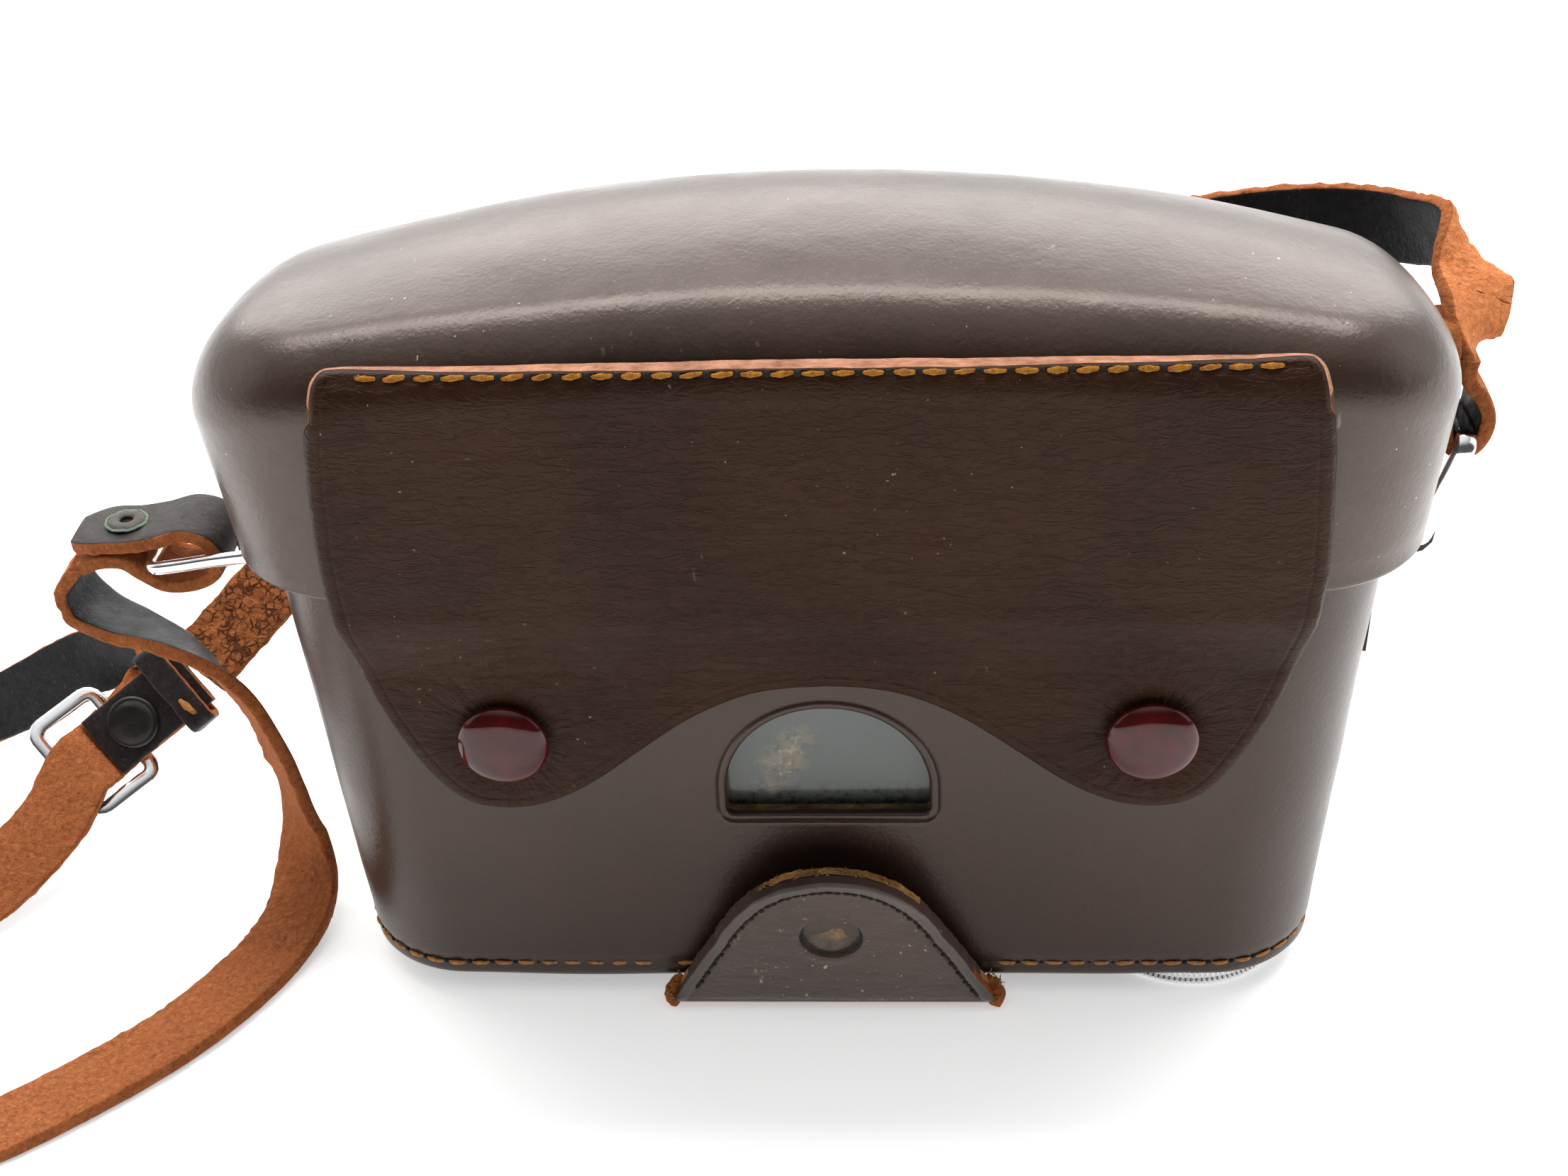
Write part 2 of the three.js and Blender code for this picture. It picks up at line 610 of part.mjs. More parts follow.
// Strap between stations `from` and `to` of a table of [x, y, z, normalX, normalY, normalZ].
// The normal points out of the finished face.
function strip(stations, steps, from = 0, to = stations.length - 1) {
  const curve = new THREE.CatmullRomCurve3(
    stations.map(([x, y, z]) => vec(x, y, z)), false, 'centripetal');
  const normals = stations.map((station) => vec(...station.slice(3)).normalize());
  const last = stations.length - 1;
  const sections = [];
  for (let i = 0; i <= steps; i++) {
    const position = Math.min(from + (to - from) * i / steps, last - 1e-9);
    const k = Math.floor(position);
    const point = curve.getPoint(position / last);
    const tangent = curve.getTangent(position / last);
    const normal = normals[k].clone().lerp(normals[k + 1], position - k);
    normal.addScaledVector(tangent, -normal.dot(tangent)).normalize();
    const across = tangent.clone().cross(normal).normalize();
    sections.push([[1, 1], [-1, 1], [-1, -1], [1, -1]].map(([side, face]) => point.clone()
      .addScaledVector(across, side * STRAP_W / 2)
      .addScaledVector(normal, face * STRAP_T / 2).toArray()));
  }
  return outward(loft(sections));
}

// wire rings from the lugs to the strap ends
const RING_ENDS = { left: vec(-96.1, 0, 62.9), right: vec(85.2, 0, 81.0) };
for (const [name, side] of SIDES) {
  const lug = vec(side * LUG_X, 0, LUG_Z);
  const end = RING_ENDS[name];
  const along = end.clone().sub(lug);
  const halfLength = along.length() / 2;
  const centre = lug.clone().add(end).multiplyScalar(0.5);
  const path = frameLoop(centre, along.normalize(), vec(0, 1, 0), halfLength, 7.0, 2.0);
  put(`ring_${name}`, wireLoop(path, 0.95), FINISH.brightChrome);
}

// Centre lines of the folded strap ends: [x, z]
const LEFT_END = [
  [-107.5, 64.8], [-103, 65.5], [-99.5, 65.6], [-95.5, 66.2], [-91, 67.4],
  [-87.8, 66.4], [-86.3, 63.8], [-87.2, 61.0], [-90.5, 59.2], [-94.5, 59.0],
  [-97.6, 60.8], [-100.2, 62.9], [-103.5, 63.0], [-106.5, 61.9],
];
const RIGHT_END = [
  [82.0, 96], [82.1, 91], [82.2, 86], [82.3, 81], [82.9, 77.6], [84.6, 76.0], [86.7, 76.6],
  [88.1, 79.3], [88.2, 82.5], [86.9, 85.6], [84.9, 88.2], [84.6, 90.2], [84.9, 92.0],
];

function foldedEnd(centreLine) {
  const curve = new THREE.CatmullRomCurve3(
    centreLine.map(([x, z]) => vec(x, 0, z)), false, 'centripetal');
  const steps = 26;
  const sideA = [];
  const sideB = [];
  for (let i = 0; i <= steps; i++) {
    const point = curve.getPoint(i / steps);
    const tangent = curve.getTangent(i / steps);
    const dx = tangent.z * STRAP_T / 2;
    const dz = tangent.x * STRAP_T / 2;
    sideA.push([point.x - dx, point.z + dz]);
    sideB.push([point.x + dx, point.z - dz]);
  }
  const outline = counterClockwise([...sideA, ...sideB.reverse()]);
  return prismY(outline, -STRAP_W / 2, STRAP_W / 2);
}
put('strap_end_left', foldedEnd(LEFT_END), FINISH.strapEnd);
put('strap_end_right', foldedEnd(RIGHT_END), FINISH.strapEnd);

const eyelet = () => turnZ(
  [[0.9, 0], [2.8, 0], [2.7, 0.35], [1.2, 0.5], [0.9, 0.15], [0.9, 0]], 0, 0, 14);
put('strap_eyelet_left', eyelet().translate(-100.3, 0, 67.1), FINISH.eyelet);
put('strap_eyelet_right', eyelet().rotateY(-Math.PI / 2).translate(80.9, 0, 89.5),
  FINISH.eyelet);

// Buckle frame of reference: along the strap, across it, and out of its face.
const BUCKLE_ORIGIN = vec(-113.0, 15.0, 20.5);
const FACE = [0.054, -0.841, 0.539];
const buckleOut = vec(...FACE).normalize();
const buckleAlong = vec(-0.768, -0.379, -0.515);
buckleAlong.addScaledVector(buckleOut, -buckleAlong.dot(buckleOut)).normalize();
const buckleAcross = buckleOut.clone().cross(buckleAlong).normalize();

const buckleAt = (along, across, out) => BUCKLE_ORIGIN.clone()
  .addScaledVector(buckleAlong, along)
  .addScaledVector(buckleAcross, across)
  .addScaledVector(buckleOut, out);
const buckleStation = (along, across, out, normal = buckleOut) =>
  [...buckleAt(along, across, out).toArray(), ...normal.toArray()];

// Strap stations: centre x, y, z, then the normal of the finished face.
// Left: curls over, drops beside the case to the table, loops round to the buckle.
const LEFT_STRAP = [
  [-107.6, 0, 61.3, -0.3, 0, 1], [-110.4, 0, 57.4, -1, 0, 0.1],
  [-108.6, -0.6, 53.0, -0.6, 0, -0.8], [-102.5, -2.6, 50.6, -0.15, -0.2, -0.95],
  [-94.5, -5.4, 48.6, -0.3, -0.45, -0.85], [-88.2, -7.0, 44.2, -0.6, -0.6, -0.5],
  [-84.6, -6.0, 35.5, -0.8, -0.6, -0.05], [-83.4, -3.6, 24.5, -0.75, -0.65, 0.1],
  [-83.0, -0.6, 13.5, -0.65, -0.6, 0.4], [-83.2, -3.2, 6.0, -0.4, -0.45, 0.8],
  [-83.2, -9.6, 2.7, -0.1, 0, 1], [-85.5, -18, 1.4, 0, 0, 1],
  [-93.5, -33, 1.3, 0, 0, 1], [-106, -46.5, 1.3, 0, 0, 1],
  [-121, -57.5, 1.4, 0, 0, 1], [-138, -60, 2.2, 0, -0.2, 1],
  [-149, -50, 3.6, 0.2, -0.45, 0.9], [-149, -36, 4.8, 0.3, -0.6, 0.75],
  [-141, -20, 5.0, 0.15, -0.75, 0.6], [-131, -7, 6.4, ...FACE],
  [-124, 2.2, 11.2, ...FACE], buckleStation(9.0, 0.5, 3.4),
];
// Tongue: from the buckle, curling back and leaving to the left.
const TONGUE = [
  buckleStation(8.5, -0.5, -4.2), buckleStation(3, -1, -4.6), buckleStation(-2.6, -2, -5.4),
  buckleStation(-5.4, -4, -8.2, buckleAlong.clone().negate()),
  [-116.2, 29.6, 23.6, 0.1, 0.84, 0.3], [-126, 31.5, 20.8, -0.05, 0.84, -0.54],
  [-141.5, 30.8, 12.8, -0.05, 0.84, -0.54], [-154, 30, 8.6, 0, 0.7, -0.7],
  [-166, 28, 5.6, 0, 0.5, -0.85],
];
// Right: rises, twists, runs behind the lid and down the back to the left rear.
const RIGHT_STRAP = [
  [85.5, 0.4, 95.4, 1, 0.05, 0], [86.3, 2.2, 99.3, 0.66, -0.66, 0.25],
  [88.2, 9.2, 102.2, 0.66, 0, 0.7], [87.0, 17.8, 101.0, 0.95, 0.45, 0.35],
  [82, 26.5, 98, 0.5, 1, 0.1], [74, 31.5, 96.6, 0.2, 1, 0],
  [60, 33.6, 94.8, 0, 1, 0], [40, 34.0, 90.5, 0, 1, 0],
  [18, 34.0, 82, 0, 1, 0], [-2, 34.0, 73, 0, 1, 0],
  [-22, 34, 64.5, 0, 1, 0], [-42, 34.2, 57, 0.1, 1, 0.2],
  [-58, 34.6, 51.5, 0.1, 0.8, 0.8], [-71, 34.4, 48, 0.2, 0, 1],
  [-81.5, 32.5, 44, 0.2, -0.6, 0.8], [-89.5, 28.6, 39.2, 0.1, -0.8, 0.5],
  [-96.6, 24.1, 33, ...FACE], buckleStation(-13.2, 0, 0),
];
// [name, stations, steps, from station, to station]; no range means the whole table
const STRAPS = [
  ['strap_left_curl', LEFT_STRAP, 12, 0, 4],
  ['strap_left_drop', LEFT_STRAP, 12, 4.05, 9],
  ['strap_left_run', LEFT_STRAP, 34, 9.06, 21],
  ['strap_tongue', TONGUE, 22],
  ['strap_right_rise', RIGHT_STRAP, 12, 0, 4],
  ['strap_rear_upper', RIGHT_STRAP, 14, 4.05, 10],
  ['strap_rear_lower', RIGHT_STRAP, 22, 10.03, 17],
];
for (const [name, ...run] of STRAPS) put(name, strip(...run), FINISH.suede);

// Box in the buckle's frame of reference.
function buckleBox(along0, along1, halfAcross, halfOut) {
  const face = (out) => [[along0, -1], [along1, -1], [along1, 1], [along0, 1]]
    .map(([along, side]) => buckleAt(along, side * halfAcross, out).toArray());
  return outward(loft([face(-halfOut), face(halfOut)]));
}
put('buckle_strap', buckleBox(-12.0, 6.6, STRAP_W / 2, 1.0), FINISH.buckleLeather);
put('strap_keeper', cut(buckleBox(-10.8, -6.4, 7.8, 2.6), buckleBox(-13, 3, 6.2, 1.3)),
  FINISH.keeperLeather);
put('buckle_rivet',
  turnZ([[0, 1.15], [4.2, 1.15], [4.2, 1.5], [2.6, 1.9], [0, 1.95]], 0, 0, 14)
    .applyMatrix4(new THREE.Matrix4().makeBasis(buckleAlong, buckleAcross, buckleOut)
      .setPosition(BUCKLE_ORIGIN)), FINISH.buckleRivet);
// the frame is tilted out of the strap's plane
const frameAlong = buckleAlong.clone().addScaledVector(buckleOut, 0.38).normalize();
put('buckle_frame', wireLoop(
  frameLoop(buckleAt(8.2, -0.6, -0.2), frameAlong, buckleAcross, 5.6, 8.4, 1.8), 0.9),
FINISH.brightChrome);

// ==== camera inside the case ====
const BODY_HW = 64.0;
const BODY_FRONT = -5.0;
const BODY_BACK = 18.8;
const BODY_R = 9.5;
const BODY_BOTTOM = 8.1;
const BODY_TOP = 78.0;
const COVER_BACK = 22.0;        // back of top cover, bottom plate and camera back
const COVER_TOP = 89.6;
const GAP = 0.3;                // clearance between stacked parts
const PLATE_BOTTOM = 5.7;
const PLATE_TOP = BODY_BOTTOM - GAP;
const ON_COVER = COVER_TOP + GAP;
const SPOOL_X = 46;             // spool axes, at -x and +x
const SPOOL_Y = 7.4;
const CHAMBER_R = 11;
const BUTTON_X = 27;            // shutter button and frame counter
const BUTTON_Y = 3.5;
const COUNTER_Y = 14;

const bodyOutline = (back) => ring(planOf(BODY_HW, BODY_FRONT, back, BODY_R), 1, 1);
// 18 x 24 picture opening on the lens axis
const pictureOpening = (y0, y1) => box(-9, 9, y0, y1, LENS_Z - 12, LENS_Z + 12);
const lensBore = (radius, y0, y1, segments) => rodY(0, LENS_Z, radius, y0, y1, segments);

put('camera_body', cut(
  prismZ(bodyOutline(BODY_BACK), BODY_BOTTOM, BODY_TOP),
  // film chambers, open to the back
  rodZ(-SPOOL_X, SPOOL_Y, CHAMBER_R, 11, 74, 22),
  box(-SPOOL_X - CHAMBER_R, -SPOOL_X + CHAMBER_R, SPOOL_Y, 30, 11, 74),
  rodZ(SPOOL_X, SPOOL_Y, CHAMBER_R, 11, 74, 22),
  box(35.05, SPOOL_X + CHAMBER_R, SPOOL_Y, 30, 11, 74),
  // film path, light box and lens throat
  box(-36, 36, 15.6, 30, 22, 66),
  pictureOpening(0.5, 30),
  lensBore(9.6, -8, 2, 20),
  // sprocket well, knob shaft holes and bush recess
  box(26, 36, 8.8, 30, 22, 66),
  rodZ(-SPOOL_X, SPOOL_Y, 4.2, 70, 80, 14),
  rodZ(SPOOL_X, SPOOL_Y, 4.2, 70, 80, 14),
  rodZ(SCREW_X, SCREW_Y, 5.4, 8, 10.6, 16),
), FINISH.casting);
put('camera_back', prismZ([
  [-61, BODY_BACK + 0.4], [61, BODY_BACK + 0.4], [59.2, 20.7],
  [54.5, COVER_BACK], [-54.5, COVER_BACK], [-59.2, 20.7],
], BODY_BOTTOM, BODY_TOP), FINISH.cameraBack);
// bottom plate with a forward lug round the tripod bush
put('bottom_plate', cut(
  join(
    prismZ(bodyOutline(COVER_BACK), PLATE_BOTTOM, PLATE_TOP),
    box(SCREW_X - 7, SCREW_X + 7, SCREW_Y - 6.5, 0, PLATE_BOTTOM, PLATE_TOP),
  ),
  rodZ(SCREW_X, SCREW_Y, 5.2, 4, 9, 20),
), FINISH.aluminium);
put('tripod_bush', cut(rodZ(SCREW_X, SCREW_Y, 5.0, PLATE_BOTTOM, 10.3, 20),
  rodZ(SCREW_X, SCREW_Y, 3.3, 5, 9.7, 18)), FINISH.bush);

// top cover
put('top_cover', cut(
  prismZ(bodyOutline(COVER_BACK), BODY_TOP + GAP, COVER_TOP),
  rodZ(SPOOL_X, SPOOL_Y, 4.3, 70, 100, 16),
  rodZ(-SPOOL_X, SPOOL_Y, 4.3, 70, 100, 16),
  rodZ(BUTTON_X, BUTTON_Y, 3.6, 70, 100, 14),
  rodZ(BUTTON_X, COUNTER_Y, 6.2, 87.4, 100, 18),
  // finder openings, front and back
  box(-27, -15, -10, 1.5, 80.2, 87.6),
  box(-24, -18, 18, 30, 80.6, 86.8),
  rodZ(BUTTON_X, COUNTER_Y, 1.4, 70, 100, 10),
), FINISH.chrome);
put('finder_front_glass', box(-26.6, -15.4, -3.6, -2.6, 80.5, 87.3), FINISH.finderGlass);
put('finder_eyepiece', box(-23.6, -18.4, 19.2, 21.6, 80.9, 86.5), FINISH.finderGlass);
// base, side walls, and lips that turn inwards
put('accessory_shoe', join(
  box(-9, 9, 2, 20, ON_COVER, 90.9),
  box(-9, -7.6, 2, 20, 90.8, 93.4),
  box(7.6, 9, 2, 20, 90.8, 93.4),
  box(-9, -5.8, 2, 20, 92.4, 93.4),
  box(5.8, 9, 2, 20, 92.4, 93.4),
), FINISH.knobChrome);
put('leatherette_front', cut(
  prismY([[-53.5, 10.5], [53.5, 10.5], [53.5, 75.5], [-53.5, 75.5]],
    BODY_FRONT - 1.1, BODY_FRONT - GAP),
  lensBore(20.6, -10, 0, 24),
), FINISH.leatherette);

// film transport
put('film_cassette', cut(rodZ(-SPOOL_X, SPOOL_Y, 10.4, 20.5, 66.5, 20),
  rodZ(-SPOOL_X, SPOOL_Y, 3.4, 10, 80, 14)), FINISH.cassette);
put('supply_spool', rodZ(-SPOOL_X, SPOOL_Y, 3.0, 13, 70, 14), FINISH.spool);
put('takeup_spool', turnZ([
  [0, 14], [10.2, 14], [10.2, 15.2], [5.5, 15.2],
  [5.5, 66.8], [10.2, 66.8], [10.2, 68], [0, 68],
], SPOOL_X, SPOOL_Y, 18), FINISH.spool);
put('sprocket', turnZ([
  [0, 24], [3.9, 24], [3.9, 26.4], [4.5, 27.2], [3.9, 28], [3.0, 29],
  [3.0, 59], [3.9, 60], [4.5, 60.8], [3.9, 61.6], [3.9, 64], [0, 64],
], 30.8, 14.2, 14), FINISH.dullChrome);
put('film_gate', cut(box(-17, 17, 15.9, 16.5, 27, 62), pictureOpening(10, 20)),
  FINISH.filmGate);
put('pressure_plate', box(-18, 18, 17.1, 18.3, 25, 64), FINISH.pressurePlate);

// Knurled knob with its shaft down into the body.
function knob(x, radius, topZ, shaftBottom) {
  return join(prismZ(knurled(x, SPOOL_Y, radius, 28, 0.45), ON_COVER, topZ),
    rodZ(x, SPOOL_Y, 3.9, shaftBottom, 90, 14));
}
put('wind_knob', knob(SPOOL_X, 10.5, 96.2, 71), FINISH.knobChrome);
put('rewind_knob', knob(-SPOOL_X, 9.5, 96.8, 74.5), FINISH.knobChrome);
put('shutter_button', turnZ([[0, 86], [3.2, 86], [3.2, 91.6], [2.6, 92.2], [0, 92.0]],
  BUTTON_X, BUTTON_Y, 14), FINISH.brightChrome);
put('frame_counter_dial', join(rodZ(BUTTON_X, COUNTER_Y, 5.8, 87.7, 89.2, 18),
  box(BUTTON_X - 0.4, BUTTON_X + 0.4, 14.6, 18.6, 89.1, 89.5)), FINISH.counterDial);

// lens and shutter
put('lens_barrel', cut(turnY([
  [0, -5.4], [19.5, -5.4], [19.5, -7.0], [12.4, -7.0], [12.4, -19.4], [0, -19.4],
], 0, LENS_Z, 24), lensBore(9.8, -30, 0, 20)), FINISH.aluminium);
// [name, radius, front y, back y, finish]
const LENS_RINGS = [
  ['speed_ring', 18.4, -10.6, -7.4, FINISH.ringBlack],
  ['aperture_ring', 17.0, -14.0, -11.0, FINISH.ringAluminium],
  ['focus_ring', 16.0, -18.8, -14.4, FINISH.ringAluminium],
];
for (const [name, radius, front, back, finish] of LENS_RINGS) {
  const blank = prismY(knurled(0, LENS_Z, radius, 28, 0.5), front, back);
  put(name, cut(blank, lensBore(12.8, -30, 0, 24)), finish);
}
put('front_bezel', cut(
  turnY([[0, -19.8], [14.5, -19.8], [13.5, -21.6], [0, -21.6]], 0, LENS_Z, 24),
  lensBore(9.9, -30, 0, 20),
), FINISH.bezel);
put('front_lens', turnY([[0, -20.0], [4, -19.7], [9.3, -18.2], [9.3, -16.4], [0, -16.0]],
  0, LENS_Z, 18), FINISH.lensGlass);
put('shutter_blades', cut(lensBore(9.4, -11.8, -11.3, 18), lensBore(1.6, -20, 0, 5)),
  FINISH.blades);

export default cameraCase;
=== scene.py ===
# A half frame camera in its closed leather ever-ready case, with strap, front flap and tab.
# X runs to the right, Y from the front (-Y) to the back, Z up; the case stands on the floor at 0.
# Sizes are in millimetres; MM turns them into metres where meshes are made.
import math

import bmesh
import bpy
import numpy as np
from mathutils import Matrix, Vector
from mathutils import geometry as mgeo


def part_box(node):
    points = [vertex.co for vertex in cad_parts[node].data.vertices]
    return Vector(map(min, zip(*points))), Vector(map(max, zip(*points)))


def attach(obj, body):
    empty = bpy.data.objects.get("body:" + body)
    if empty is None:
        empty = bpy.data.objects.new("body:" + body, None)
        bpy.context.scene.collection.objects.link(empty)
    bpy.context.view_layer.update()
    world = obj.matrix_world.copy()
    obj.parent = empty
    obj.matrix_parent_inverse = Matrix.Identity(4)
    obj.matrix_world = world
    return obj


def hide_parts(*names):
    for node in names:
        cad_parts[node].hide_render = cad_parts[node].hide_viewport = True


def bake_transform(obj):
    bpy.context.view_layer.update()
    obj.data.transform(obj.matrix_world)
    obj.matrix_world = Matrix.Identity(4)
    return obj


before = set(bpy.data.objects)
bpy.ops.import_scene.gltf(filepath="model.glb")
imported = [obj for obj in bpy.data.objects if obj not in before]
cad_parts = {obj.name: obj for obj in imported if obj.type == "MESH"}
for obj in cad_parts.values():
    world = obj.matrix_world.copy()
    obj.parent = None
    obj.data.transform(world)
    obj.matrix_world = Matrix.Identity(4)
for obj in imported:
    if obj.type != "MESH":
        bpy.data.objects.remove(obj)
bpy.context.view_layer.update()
MM = 0.001

# ---------------------------------------------------------------- shared sizes
BASE_Z, SPLIT_Z = 3.0, 73.5  # underside of the case, and where the lid meets it
BACK_Y = 26.0
LEATHER = 2.4
SHELL_R = 16.0
LUG_X, LUG_Z = 80.3, 65.3
SNAP_X, SNAP_Z = 43.0, 50.3
LID_FRONT_R, LID_BACK_R, LID_WALL = 19.0, 12.0, 2.5
LID_FRONT, LID_RIM_FRONT = -35.0, -32.3  # y of the lid's front wall, at its top and its rim
LID_FILLET = 7.5  # between the lid's front and top
FLAP_THICK, FLAP_GAP = 2.15, 0.25


# ---------------------------------------------------------------- materials
SOCKETS = {
    "color": "Base Color", "rough": "Roughness", "metal": "Metallic", "normal": "Normal",
    "spec": "Specular IOR Level", "spec_tint": "Specular Tint", "coat": "Coat Weight",
    "coat_rough": "Coat Roughness", "sheen": "Sheen Weight", "sheen_rough": "Sheen Roughness",
    "sheen_tint": "Sheen Tint", "glow": "Emission Color", "glow_strength": "Emission Strength",
}


class Signal:
    """A shader node's output, combined with others by arithmetic."""

    def __init__(self, paint, socket):
        self.paint, self.socket = paint, socket

    def calc(self, operation, other=0.0, clamp=False):
        node = self.paint.node("Math", operation=operation, use_clamp=clamp)
        return self.paint.feed(node, self, other, 0.0)

    def __add__(self, other):
        return self.calc("ADD", other)

    def __sub__(self, other):
        return self.calc("SUBTRACT", other)

    def __mul__(self, other):
        return self.calc("MULTIPLY", other)

    def __truediv__(self, other):
        return self.calc("DIVIDE", other)

    def masked(self, other):
        """A product held between 0 and 1."""
        return self.calc("MULTIPLY", other, clamp=True)

    def remap(self, low, high, to=(0, 1)):
        return self.paint.feed(self.paint.node("MapRange"), self, low, high, *to)


class Paint:
    """Builds one node material in layers. Textures are placed and sized in millimetres."""

    def __init__(self, name, base):
        self.material = bpy.data.materials.new(name)
        self.material.use_nodes = True
        self.tree = self.material.node_tree
        self.tree.nodes.clear()
        output = self.node("OutputMaterial")
        self.shader = self.node("BsdfPrincipled")
        self.tree.links.new(self.shader.outputs[0], output.inputs[0])
        self.color = base
        self.normal = None
        place = Signal(self, self.node("TexCoord").outputs["Object"])
        self.mm = self.mapped(place, scale=(1000, 1000, 1000))

    def node(self, kind, **settings):
        node = self.tree.nodes.new("ShaderNode" + kind)
        for key, value in settings.items():
            setattr(node, key, value)
        return node

    def put(self, socket, value):
        if isinstance(value, Signal):
            self.tree.links.new(value.socket, socket)
        elif isinstance(value, tuple) and socket.type == "RGBA":
            socket.default_value = (*value, 1)
        else:
            socket.default_value = value

    def feed(self, node, *values):
        """Fill the node's first inputs and give its first output."""
        for socket, value in zip(node.inputs, values):
            self.put(socket, value)
        return Signal(self, node.outputs[0])

    def mapped(self, source, scale=(1, 1, 1), rot=(0, 0, 0), loc=(0, 0, 0)):
        node = self.node("Mapping")
        named = {"Vector": source, "Scale": scale, "Rotation": rot, "Location": loc}
        for key, value in named.items():
            self.put(node.inputs[key], value)
        return Signal(self, node.outputs[0])

    def noise(self, size, detail=3.0, rough=0.55, source=None, distort=0.0, output=0, **mapping):
        node = self.node("TexNoise")
        source = source or self.mm
        if mapping:
            source = self.mapped(source, **mapping)
        named = {"Vector": source, "Scale": 1.0 / size, "Detail": detail, "Roughness": rough,
                 "Distortion": distort}
        for key, value in named.items():
            self.put(node.inputs[key], value)
        return Signal(self, node.outputs[output])

    def voronoi(self, size, feature="F1", source=None):
        node = self.node("TexVoronoi", feature=feature)
        self.put(node.inputs["Vector"], source or self.mm)
        node.inputs["Scale"].default_value = 1.0 / size
        return Signal(self, node.outputs["Distance"])

    def ramp(self, factor, stops):
        """Grey levels at positions from 0 to 1."""
        node = self.node("ValToRGB")
        elements = node.color_ramp.elements
        elements.remove(elements[0])
        elements[0].position = stops[0][0]
        for position, _ in stops[1:]:
            elements.new(position)
        for element, (_, grey) in zip(elements, stops):
            element.color = (grey, grey, grey, 1)
        return self.feed(node, factor)

    def mix(self, factor, first, second):
        node = self.node("Mix", data_type="RGBA", clamp_factor=True)
        self.put(node.inputs["Factor"], factor)
        self.put(node.inputs[6], first)
        self.put(node.inputs[7], second)
        return Signal(self, node.outputs[2])

    def layer(self, factor, color):
        """Lay a colour over what is there."""
        self.color = self.mix(factor, self.color, color)

    def xyz(self):
        node = self.node("SeparateXYZ")
        self.feed(node, self.mm)
        return [Signal(self, socket) for socket in node.outputs]

    def bump(self, height, depth, strength=1.0):
        """Add relief, depth mm deep, to what is there."""
        node = self.node("Bump")
        node.inputs["Strength"].default_value = strength
        node.inputs["Distance"].default_value = depth * MM
        self.put(node.inputs["Height"], height)
        if self.normal:
            self.put(node.inputs["Normal"], self.normal)
        self.normal = Signal(self, node.outputs[0])

    def finish(self, **values):
        if self.normal:
            values["normal"] = self.normal
        for key, value in dict(values, color=self.color).items():
            self.put(self.shader.inputs[SOCKETS[key]], value)
        return self.material


def rgb(*parts):
    """A screen colour, 0 to 255, as linear light."""
    shares = [part / 255 for part in parts]
    return tuple(s / 12.92 if s <= 0.04045 else ((s + 0.055) / 1.055) ** 2.4 for s in shares)


def scaled(color, factor):
    return tuple(part * factor for part in color)


def leather(name, dark, light, rough=(0.3, 0.42), grain=0.5, crease=0.0, pull=False, scuff=0.3,
            spec=0.5, tint=(1.0, 0.86, 0.76), specks=0.745, plainer=False):
    """Dyed leather. specks is the noise level above which pale specks show."""
    m = Paint(name, dark)
    m.layer(m.noise(26, detail=2, rough=0.5).remap(0.32, 0.7), light)
    m.layer(m.noise(1.6, rough=0.6).remap(0.35, 0.75, to=(0, 0.35)), scaled(light, 1.35))
    pits = m.voronoi(0.55).remap(0.0, 0.28, to=(1, 0))
    m.layer(pits * 0.25, scaled(dark, 0.45))
    # rubbed patches, then pale specks
    streaks = m.noise(2.2, detail=4, rough=0.7, scale=(1, 1, 0.22), rot=(0.25, 0.5, 0.2))
    spots = m.noise(17, detail=2, rough=0.5, loc=(31, 7, 3))
    rub = streaks.remap(0.66, 0.76).masked(spots.remap(0.5, 0.66))
    m.layer(rub * scuff, rgb(150, 132, 118))
    grit = m.noise(0.9, detail=2, rough=0.5, loc=(5, 9, 1)).remap(specks, specks + 0.02)
    area = m.noise(30, detail=1, rough=0.5, loc=(9, 3, 12)).remap(0.45, 0.6)
    m.layer(grit.masked(area) * min(1, scuff * 1.6), rgb(185, 165, 140))
    gloss = m.noise(9, rough=0.6).remap(0.3, 0.7, to=rough) + rub * (0.12 * min(1.0, scuff))
    cells = m.voronoi(0.62, "SMOOTH_F1")
    height = cells * -0.55 + m.noise(0.42, rough=0.6) * 0.55 + pits * -0.35
    m.bump(height, depth=0.055 * grain)
    if not plainer:
        m.bump(m.noise(5.5, detail=2, rough=0.5), depth=0.22, strength=0.55)
    if crease:
        flat = m.noise(1.5, rough=0.62, scale=(0.3, 1, 1), rot=(0, 0.12, 0), distort=0.8)
        slanted = m.noise(1.3, rough=0.62, scale=(0.38, 1, 1), rot=(0, -0.5, 0), distort=0.6,
                          loc=(4, 0, 8))
        choice = m.noise(22, detail=1, rough=0.5, loc=(2, 2, 2)).remap(0.42, 0.58)
        folds = m.ramp(m.mix(choice, flat, slanted),
                       [(0.0, 0.0), (0.42, 0.62), (0.5, 0.2), (0.56, 0.66), (1.0, 1.0)])
        m.bump(folds, depth=0.16 * crease)
        # painted shade: the crease valleys are darkened
        m.layer(folds.remap(0.1, 0.5, to=(1, 0)) * (0.35 * crease), scaled(dark, 0.5))
    if pull:
        # creases drawn towards the two fasteners, with painted shade in their valleys
        x, _, z = m.xyz()
        for snap_x in (-SNAP_X, SNAP_X):
            dx = x - snap_x
            dz = z - SNAP_Z
            angle = dz.calc("ARCTAN2", dx)
            radius = (dx * dx + dz * dz).calc("SQRT")
            polar_place = m.feed(m.node("CombineXYZ"), angle * 9.0, radius * 0.16)
            ray = m.noise(1.0, rough=0.6, source=polar_place)
            near = radius.remap(6.0, 20.0, to=(1, 0))
            m.bump(ray * near, depth=0.5)
            # painted shade along the crease valleys round each fastener
            m.layer(near * ray.remap(0.3, 0.5, to=(1, 0)) * 0.35, scaled(dark, 0.5))
    return m.finish(rough=gloss, spec=spec, spec_tint=tint, coat_rough=0.28)


